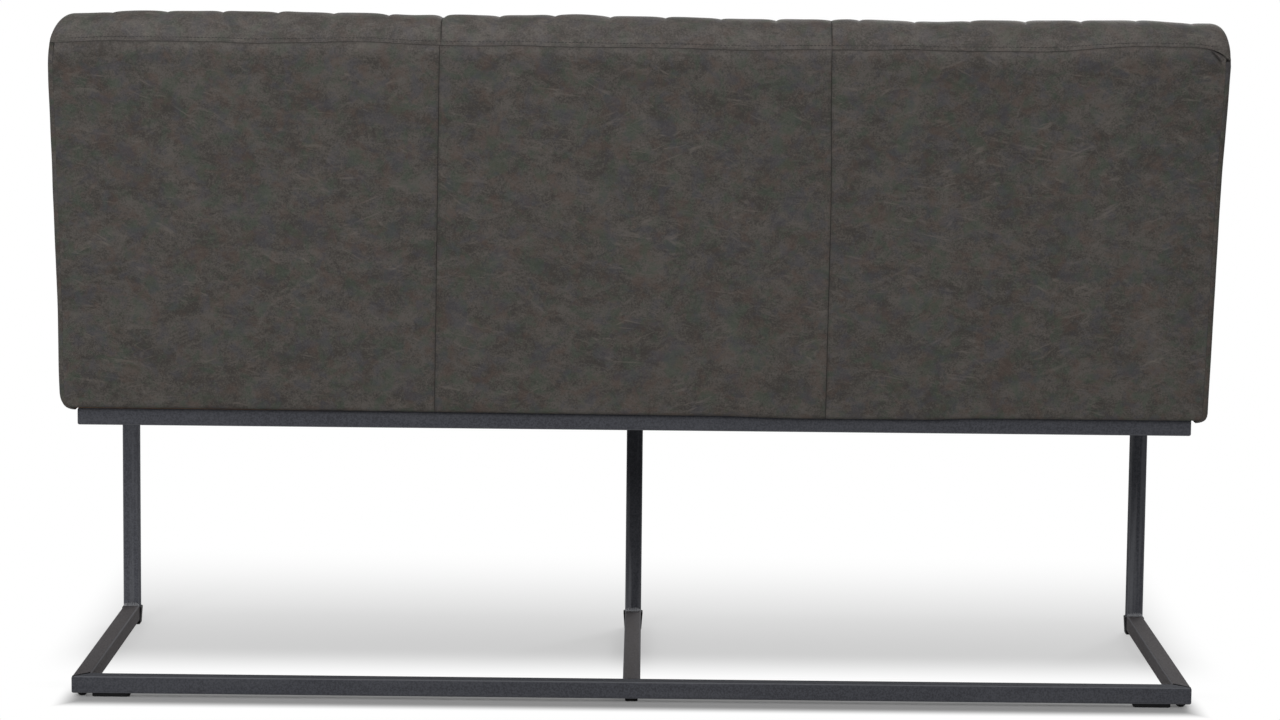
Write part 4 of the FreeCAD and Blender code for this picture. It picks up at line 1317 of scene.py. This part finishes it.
def make_floor(stage):
    """A wide plain floor that shows plain white, but for the shadow of the bench.

    The shadow ends beside the bench, before it and behind it. Within it, the white is painted light that
    lightens the real shadow: a share of it under the seat, all of it just before the rear rail, and none
    below and behind that rail.
    """
    reach = 30.0
    corners = [(-reach, -reach, 0), (reach, -reach, 0), (reach, reach, 0), (-reach, reach, 0)]
    mesh = bpy.data.meshes.new("floor")
    mesh.from_pydata(corners, [], [(0, 1, 2, 3)])
    floor = add_object("floor", mesh)
    material, wire = new_finish("floor")
    x, y, _ = object_place(wire).axes()
    outward = wire.math("ABSOLUTE", x)
    rear = y.step(0.10, 0.22)
    beside = outward.step(*SHADOW_BESIDE) * (1 - rear) + outward.step(*SHADOW_AT_RAIL) * rear
    before = (-1.0 * y).step(*SHADOW_BEFORE)
    behind = y.step(*SHADOW_BEHIND)
    away = beside.most(before, behind)
    glow = stage.floor_glow + (1 - stage.floor_glow) * y.step(-0.10, 0.12)
    glow = glow * (1 - y.step(0.14, 0.27))
    share = background_rays(wire) * (glow + (1 - glow) * away)
    plain = wire.node("ShaderNodeBsdfDiffuse", 0, {}, {0: (*stage.floor, 1)})
    white = wire.node("ShaderNodeEmission", 0, {}, {0: (1, 1, 1, 1), 1: 1.0})
    output(wire, wire.node("ShaderNodeMixShader", 0, {}, {0: share, 1: plain, 2: white}))
    paint(floor, material)


def make_lamp(name, place, aim, size, power):
    """A rectangular lamp at a place, turned to its aim."""
    lamp = bpy.data.lights.new(name, "AREA")
    lamp.shape = "RECTANGLE"
    lamp.size, lamp.size_y = size
    lamp.energy = power
    holder = add_object(name, lamp)
    holder.location = place
    holder.rotation_euler = (Vector(aim) - Vector(place)).to_track_quat("-Z", "Y").to_euler()


def make_camera():
    """Camera behind the bench, looking a little down, with the photograph's small tilt."""
    place = (-0.0126, 5.3482, 1.0781)
    yaw, pitch, roll = -0.0011, 0.1208, 0.0103
    level = math.cos(pitch)
    forward = Vector((-math.sin(yaw) * level, -math.cos(yaw) * level, -math.sin(pitch)))
    right = Vector((-math.cos(yaw), math.sin(yaw), 0))
    up = right.cross(forward)
    right, up = (
        math.cos(roll) * right + math.sin(roll) * up,
        math.cos(roll) * up - math.sin(roll) * right,
    )
    lens = bpy.data.cameras.new("camera")
    lens.sensor_width = 36.0
    lens.lens = 108.77
    lens.shift_y = 0.0013
    camera = add_object("camera", lens)
    turn = Matrix((right, up, -forward)).transposed()
    camera.matrix_world = Matrix.Translation(place) @ turn.to_4x4()
    bpy.context.scene.camera = camera


# Operators

class BENCH_OT_stage(bpy.types.Operator):
    """Make the floor, the light and the camera"""

    bl_idname = "bench.stage"
    bl_label = "Stage"

    def execute(self, context):
        stage = context.scene.bench_stage
        make_world(stage)
        make_floor(stage)
        make_lamp("overhead_lamp", (0.0, 0.2, 3.0), (0.0, 0.0, 0.0), (2.6, 0.5), stage.over)
        make_lamp("key_lamp", (1.4, 4.6, 2.6), (0.0, 0.2, 0.5), (2.6, 2.0), stage.key)
        make_lamp("fill_lamp", (-1.4, -3.6, 2.6), (0.0, 0.0, 0.5), (2.6, 2.0), stage.fill)
        make_camera()
        context.scene.view_settings.view_transform = "Standard"
        return {"FINISHED"}


class BENCH_OT_rear_covers(bpy.types.Operator):
    """Make the three covers on the rear of the back"""

    bl_idname = "bench.rear_covers"
    bl_label = "Rear covers"

    def execute(self, context):
        size = context.scene.bench_sizes
        widths = (("left", -2, -1), ("middle", -1, 1), ("right", 1, 2))
        for cut, (name, first, second) in enumerate(widths, start=1):
            piece = rear_cover(size, "rear_cover_" + name, first, second, cut)
            dress(context, piece, 0.9, "rear_panel_" + name)
        return {"FINISHED"}


class BENCH_OT_top_strips(bpy.types.Operator):
    """Make the band along the top edge of the back, in three lengths"""

    bl_idname = "bench.top_strips"
    bl_label = "Top strips"

    def execute(self, context):
        size = context.scene.bench_sizes
        first, second = STRIP_SEAMS
        lengths = (
            ("left", end_columns(size, -first, -1)[::-1]),
            ("middle", first + places(second - first, COLUMN_GRID, COLUMN_GRID, COLUMN_GRID)),
            ("right", end_columns(size, second, 1)),
        )
        for cut, (name, across) in enumerate(lengths, start=4):
            piece = strip_cover(size, "strip_cover_" + name, across, cut)
            dress(context, piece, 0.8, "top_strip_" + name)
        return {"FINISHED"}


class BENCH_OT_quilts(bpy.types.Operator):
    """Make the channel-sewn covers of the back and the seat"""

    bl_idname = "bench.quilts"
    bl_label = "Channel-sewn covers"

    def execute(self, context):
        size = context.scene.bench_sizes
        dress(context, back_quilt(size, "back_channels", 7), 0.75, "back_quilt", "back_foam")
        dress(context, seat_quilt(size, "seat_channels", 8), 0.75, "seat_quilt", "seat_foam")
        return {"FINISHED"}


class BENCH_OT_side_covers(bpy.types.Operator):
    """Make the covers on the two ends of the back and of the seat"""

    bl_idname = "bench.side_covers"
    bl_label = "Side covers"

    def execute(self, context):
        size = context.scene.bench_sizes
        for name, side in SIDES:
            back = back_side_cover(size, "back_side_cover_" + name, side, 10 + side)
            dress(context, back, 0.8, "back_side_" + name)
            seat = seat_side_cover(size, "seat_side_cover_" + name, side, 14 + side)
            dress(context, seat, 0.8, "seat_side_" + name)
        return {"FINISHED"}


class BENCH_OT_stitching(bpy.types.Operator):
    """Sew the threads of the strip and of the channels"""

    bl_idname = "bench.stitching"
    bl_label = "Stitching"

    def execute(self, context):
        size = context.scene.bench_sizes
        shades = context.scene.bench_finishes
        back, seat = back_run(size), seat_run(size)
        back_rows = channel_stitches(size, back, 0.02, back.span - 0.004)
        rows = (
            ("strip_thread", "strip_leather", strip_stitches(size)),
            ("back_thread", "leather", back_rows),
            ("seat_thread", "leather", channel_stitches(size, seat, 0.012, seat.span - 0.02)),
        )
        finish = plain_finish("thread", shades.thread, 0.6, 2400.0, 0.0002)
        for name, slot, (points, faces) in rows:
            paint(new_piece(name, points, faces, slot), finish)
        return {"FINISHED"}


# Legs whose coat is painted paler or darker than the rest, by how much: painted light on the right leg and
# painted shade on the middle one, for how the light falls on them.
LEG_PAINTED_LIGHT = (("right_leg", 1.45), ("middle_leg", 0.75))


class BENCH_OT_steel_frame(bpy.types.Operator):
    """Finish the tubes and lay their welds"""

    bl_idname = "bench.steel_frame"
    bl_label = "Steel frame"

    def execute(self, context):
        size = context.scene.bench_sizes
        shades = context.scene.bench_finishes
        upright = ((130, 130, 3), 0.55)
        coats = (
            tube_finish("painted_light_and_shade_coat_across", shades, shades.tube, (4, 70, 70), 0.08),
            tube_finish("painted_light_and_shade_coat_deep", shades, shades.tube_runners_painted_light, (70, 6, 70), 0.10),
            tube_finish("painted_light_and_shade_coat_upright", shades, shades.tube, *upright),
        )
        for node in nodes_of("black_tube"):
            low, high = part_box(node)
            longest = max(range(3), key=lambda axis: high[axis] - low[axis])
            paint(frame["nodes"][node], coats[longest])
        # Painted light and shade: paler and darker copies of the upright coat for single legs.
        for leg, share in LEG_PAINTED_LIGHT:
            coat = tube_finish("painted_light_and_shade_coat_" + leg, shades, scaled(shades.tube, share), *upright)
            paint(frame["nodes"][leg], coat)
        # The weld is coated in the paler coat and is paler still round its whole body: a painted
        # highlight.
        bead = tube_finish("coated_weld_painted_highlight", shades, shades.tube_rub_and_highlight, (200, 200, 200), 0.3, 0.30, 0.4)
        # The mitre line is a thin weld coloured near black: painted shade along the mitre.
        line = plain_finish("mitre_line_painted_shade", shades.plastic, 0.8, 900.0, 0.0003, gloss=0.03)
        for name, (points, faces), finish in (
            ("foot_welds", foot_welds(size), bead),
            ("mitre_welds", mitre_welds(), line),
        ):
            paint(new_piece(name, points, faces, "black_tube"), finish)
        return {"FINISHED"}


class BENCH_OT_inner_parts(bpy.types.Operator):
    """Finish the glides, boards, timber and fasteners"""

    bl_idname = "bench.inner_parts"
    bl_label = "Inner parts and glides"

    def execute(self, context):
        shades = context.scene.bench_finishes
        plastic = plain_finish("moulded_plastic", shades.plastic, 0.6, 700.0, 0.0002, gloss=0.08)
        finishes = {
            "black_plastic": plastic,
            "zinc_fasteners": plain_finish("bright_zinc", shades.zinc, 0.28, 500.0, 0.0001, metal=1.0),
            "bracket_steel": plain_finish("plain_steel", shades.steel, 0.38, 400.0, 0.0001, metal=1.0),
            "hardboard": plain_finish("pressed_board", shades.hardboard, 0.75, 300.0, 0.0005),
            "plywood": wood_finish("plywood", shades.plywood, (2.5, 26, 90)),
            "softwood": wood_finish("softwood", shades.softwood, (3.0, 40, 40)),
            "dust_cloth": cloth_finish("dust_cloth", shades.cloth),
        }
        for slot, finish in finishes.items():
            for node in nodes_of(slot):
                paint(frame["nodes"][node], finish)
        return {"FINISHED"}


class BENCH_PT_sidebar(bpy.types.Panel):
    """The bench's sizes, finishes and steps"""

    bl_label = "Bench"
    bl_space_type = "VIEW_3D"
    bl_region_type = "UI"
    bl_category = "Bench"

    def draw(self, context):
        for operator in OPERATORS:
            self.layout.operator(operator.bl_idname)
        for group in (context.scene.bench_sizes, context.scene.bench_finishes, context.scene.bench_stage):
            box = self.layout.box()
            for label in group.bl_rna.properties.keys():
                if label not in ("rna_type", "name"):
                    box.prop(group, label)


OPERATORS = (
    BENCH_OT_stage,
    BENCH_OT_rear_covers,
    BENCH_OT_top_strips,
    BENCH_OT_quilts,
    BENCH_OT_side_covers,
    BENCH_OT_stitching,
    BENCH_OT_steel_frame,
    BENCH_OT_inner_parts,
)
GROUPS = {"bench_sizes": BenchSizes, "bench_finishes": BenchFinishes, "bench_stage": BenchStage}


def register():
    for kind in (*GROUPS.values(), *OPERATORS, BENCH_PT_sidebar):
        bpy.utils.register_class(kind)
    for label, group in GROUPS.items():
        setattr(bpy.types.Scene, label, PointerProperty(type=group))


def unregister():
    for label in GROUPS:
        delattr(bpy.types.Scene, label)
    for kind in (BENCH_PT_sidebar, *reversed(OPERATORS), *reversed(GROUPS.values())):
        bpy.utils.unregister_class(kind)


def main():
    register()
    bpy.ops.bench.stage()
    bpy.ops.bench.rear_covers()
    bpy.ops.bench.top_strips()
    bpy.ops.bench.quilts()
    bpy.ops.bench.side_covers()
    bpy.ops.bench.stitching()
    bpy.ops.bench.steel_frame()
    bpy.ops.bench.inner_parts()


if __name__ == "__main__":
    main()
